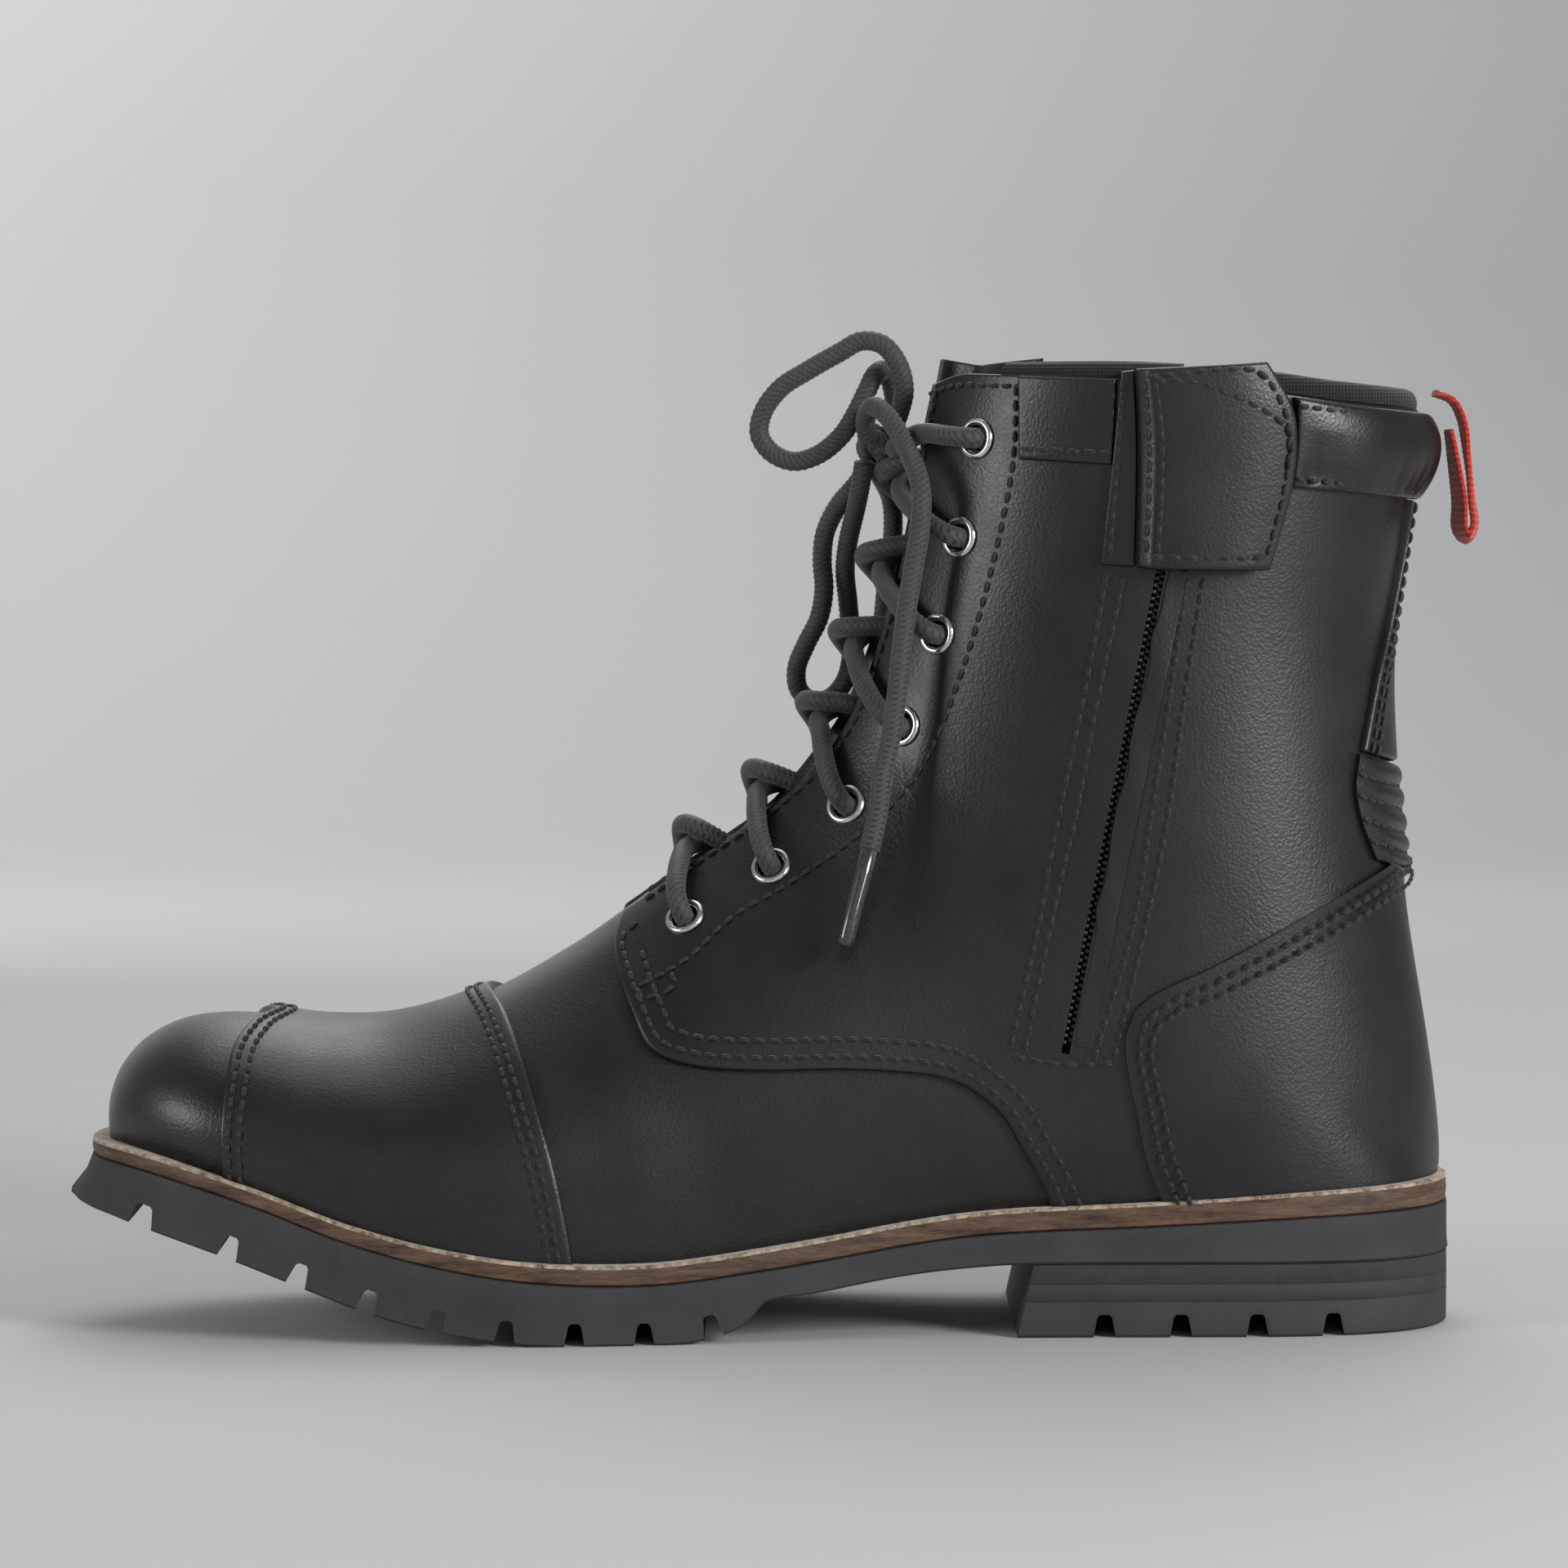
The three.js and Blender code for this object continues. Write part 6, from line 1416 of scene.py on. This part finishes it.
def sole_slab(levels, first=0.0, last=1.0, rings=200):
    """A plate with the sole's outline. Levels run from its top to its bottom: how far each stands out, and a function
    that gives its height along the boot."""
    share = (1 - np.cos(np.pi * np.linspace(0, 1, rings))) / 2
    w = first + (last - first) * (0.5 * share + 0.5 * np.linspace(0, 1, rings))
    near, far = [], []
    for grow, height in levels:
        x, half, shift = outline_at(w, grow(w) if callable(grow) else grow)
        z = height(x)
        near.append(np.stack([x, shift - half, z], -1))
        far.append(np.stack([x, shift + half, z], -1))
    loop = np.stack(near + far[::-1], 1) + ORIGIN
    sides = loop.shape[1]
    faces = grid_faces(rings, sides, wrap=True).tolist()
    faces += [list(range(sides - 1, -1, -1)), list(range((rings - 1) * sides, rings * sides))]
    return loop.reshape(-1, 3), faces


rubber, rubber_shader, spot = surface("rubber", Specular_IOR_Level=0.35)
dust = spot.noise(60, 4, 0.6)
grit = spot.noise(900, 4, 0.6)
feed(rubber_shader, Base_Color=(0.6 * dust + 0.4 * grit).colour((0.3, (0.026, 0.028, 0.03)), (0.7, (0.046, 0.048, 0.05))))
feed(rubber_shader, Roughness=0.55 + 0.3 * grit, Normal=grit.bump(0.25, 0.0003, dust.bump(0.2, 0.0008)))


def flare(w):
    return 0.6 + 4.6 * np.maximum(0, 1 - 7 * np.asarray(w))


def groove_bars(places, line):
    """Bars across the sole, square to the tread, with a narrower root than mouth."""
    points, faces = [], []
    for x, width, depth in places:
        slope = float(np.arctan2(line(np.array([x + 1.0])) - line(np.array([x - 1.0])), 2)[0])
        along, up = np.array([math.cos(slope), math.sin(slope)]), np.array([-math.sin(slope), math.cos(slope)])
        foot = np.array([x, line(np.array([float(x)]))[0]])
        half = width / 2
        profile = [(-half - 1.2, -8), (half + 1.2, -8), (half + 0.25, 0.6), (half - 0.5, depth - 0.6)]
        profile += [(half - 1.1, depth), (-half + 1.1, depth), (-half + 0.5, depth - 0.6), (-half - 0.25, 0.6)]
        base = len(points) * 16
        section = np.array([foot + along * a + up * b for a, b in profile])
        ring = lambda y: np.stack([section[:, 0] + ORIGIN[0], np.full(8, y), section[:, 1]], -1)
        points.append(np.vstack([ring(-90.0), ring(90.0)]))
        faces += (grid_faces(2, 8, wrap=True) + base).tolist()
        faces += [[base + k for k in range(7, -1, -1)], [base + 8 + k for k in range(8)]]
    return piece("groove_bars", np.vstack(points), faces, rubber)


tread = lambda x: np.maximum(tread_line(x), 0)
outsole_levels = [
    (-0.6, lambda x: midsole_bottom(x) - 0.05), (0.0, lambda x: midsole_bottom(x) - 0.3),
    (0.2, lambda x: midsole_bottom(x) - 0.9), (lambda w: 0.3 * flare(w), lambda x: 0.6 * midsole_bottom(x) + 0.4 * tread(x)),
    (lambda w: flare(w) - 0.3, lambda x: np.minimum(tread(x) + 1.6, 0.3 * midsole_bottom(x) + 0.7 * tread(x))),
    (lambda w: flare(w) - 0.1, lambda x: tread(x) + 0.5), (lambda w: flare(w) - 0.6, tread),
]
points, faces = sole_slab(outsole_levels, rings=260)
outsole_rubber = piece("outsole_rubber", points, faces, rubber, "boot", ["outsole"], crease=34)
grooves = [(-137.5, 4.8, 5.0)] + [(-118 + 15 * k, 3.8, 5.0) for k in range(8)]
cut_by(outsole_rubber, groove_bars(grooves, tread_line))
HEEL_TOP = 16.05
heel_levels = [
    (-0.5, lambda x: 0 * x + HEEL_TOP), (0.2, lambda x: 0 * x + HEEL_TOP - 0.3), (0.25, lambda x: 0 * x + 12.0),
    (-0.05, lambda x: 0 * x + 11.6), (0.25, lambda x: 0 * x + 11.2), (0.25, lambda x: 0 * x + 8.2),
    (-0.05, lambda x: 0 * x + 7.8), (0.25, lambda x: 0 * x + 7.4), (0.2, lambda x: 0 * x + 0.6), (-0.4, lambda x: 0 * x),
]
points, faces = sole_slab(heel_levels, first=0.5, rings=160)
heel_rubber = piece("heel_block_rubber", points, faces, rubber, "boot", ["heel_block"], crease=34)
breast = [(56.2 - 3.6 * (1 - z / 16), z) for z in (-5.0, 25.0)]
breast_box = []
for y in (-90.0, 90.0):
    breast_box += [[x + ORIGIN[0], y, z] for x, z in [(-60, -5), breast[0], breast[1], (-60, 25)]]
box_faces = [[0, 1, 2, 3], [7, 6, 5, 4], [0, 4, 5, 1], [1, 5, 6, 2], [2, 6, 7, 3], [3, 7, 4, 0]]
cut_by(heel_rubber, piece("breast_cut", breast_box, box_faces, rubber))
cut_by(heel_rubber, groove_bars([(71.5 + 16.6 * k, 4.2, 5.0) for k in range(4)], lambda x: 0 * x))

welt_leather, welt_shader, spot = surface("welt_leather", Specular_IOR_Level=0.4)
stretched = spot.node("ShaderNodeVectorMath", {"operation": "MULTIPLY"}, {0: spot, 1: (1, 1, 9)})
streak = stretched.noise(70, 6, 0.65)
fine = stretched.noise(420, 4, 0.6)
feed(welt_shader, Base_Color=(0.6 * streak + 0.4 * fine).colour((0.36, (0.022, 0.012, 0.008)), (0.66, (0.17, 0.098, 0.06))))
feed(welt_shader, Roughness=0.42 + 0.25 * fine, Normal=fine.bump(0.3, 0.0003))
low_edge = lambda x: midsole_bottom(x)
midsole_levels = [
    (-13.0, seat_line), (-0.5, seat_line), (-0.1, lambda x: seat_line(x) - 0.35),
    (0.1, lambda x: 0.5 * seat_line(x) + 0.5 * low_edge(x)),
    (-0.1, lambda x: low_edge(x) + 0.4), (-0.6, low_edge),
]
points, faces = sole_slab(midsole_levels, rings=220)
piece("midsole_leather", points, faces, welt_leather, "boot", ["midsole"], crease=40)

thread_cream, cream_shader, spot = surface("thread_cream", Specular_IOR_Level=0.3)
cream_shader.inputs["Sheen Weight"].default_value = 0.3
feed(cream_shader, Base_Color=spot.noise(420, 4, 0.7).colour((0.34, (0.1, 0.06, 0.035)), (0.62, (0.5, 0.4, 0.28))))
feed(cream_shader, Roughness=0.7 + 0.2 * spot.noise(900, 2), Normal=spot.noise(1500, 2).bump(0.6, 0.0004))
felt_levels = [
    (-1.6, lambda x: seat_line(x) + 0.35), (-0.5, lambda x: seat_line(x) + 0.3), (-0.1, lambda x: seat_line(x) + 0.02),
    (-0.05, lambda x: seat_line(x) - 0.4), (-1.6, lambda x: seat_line(x) - 0.5),
]
points, faces = sole_slab(felt_levels, rings=300)
piece("welt_thread", points, faces, thread_cream, "boot", (), crease=60)

# ---------------------------------------------------------------- inside and metal parts
# What is kept as modelled: linings, boards and stiffeners of the inside, and the zip's
# cast slider and pull. Each gets its own worked surface.
lining_cloth = woven("lining_cloth", (0.008, 0.008, 0.009), (0.03, 0.03, 0.032), 300)
fibre_board, board_shader, spot = surface("fibre_board", Specular_IOR_Level=0.25)
feed(board_shader, Base_Color=spot.noise(260, 5, 0.7).colour((0.3, (0.16, 0.12, 0.07)), (0.7, (0.32, 0.25, 0.16))))
feed(board_shader, Roughness=0.75 + 0.2 * spot.noise(500, 3), Normal=spot.noise(1100, 3).bump(0.4, 0.0003))
cast_metal, cast_shader, spot = surface("cast_metal", Metallic=1.0)
feed(cast_shader, Base_Color=spot.noise(180, 4).colour((0.3, (0.30, 0.30, 0.30)), (0.7, (0.55, 0.55, 0.54))))
feed(cast_shader, Roughness=0.22 + 0.25 * spot.noise(420, 3), Normal=spot.noise(900, 3).bump(0.12, 0.0003))
KEPT = {
    "vamp_lining": lining_cloth, "lining_medial": lining_cloth, "lining_lateral": lining_cloth,
    "footbed": lining_cloth, "eyelet_facing_medial": supple_hide, "eyelet_facing_lateral": supple_hide,
    "insole_board": fibre_board, "toe_puff": fibre_board, "heel_stiffener": fibre_board,
    "shank": cast_metal, "zip_slider": cast_metal, "zip_pull": cast_metal,
}
for name, material in KEPT.items():
    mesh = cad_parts[name].data
    mesh.materials.clear()
    mesh.materials.append(material)
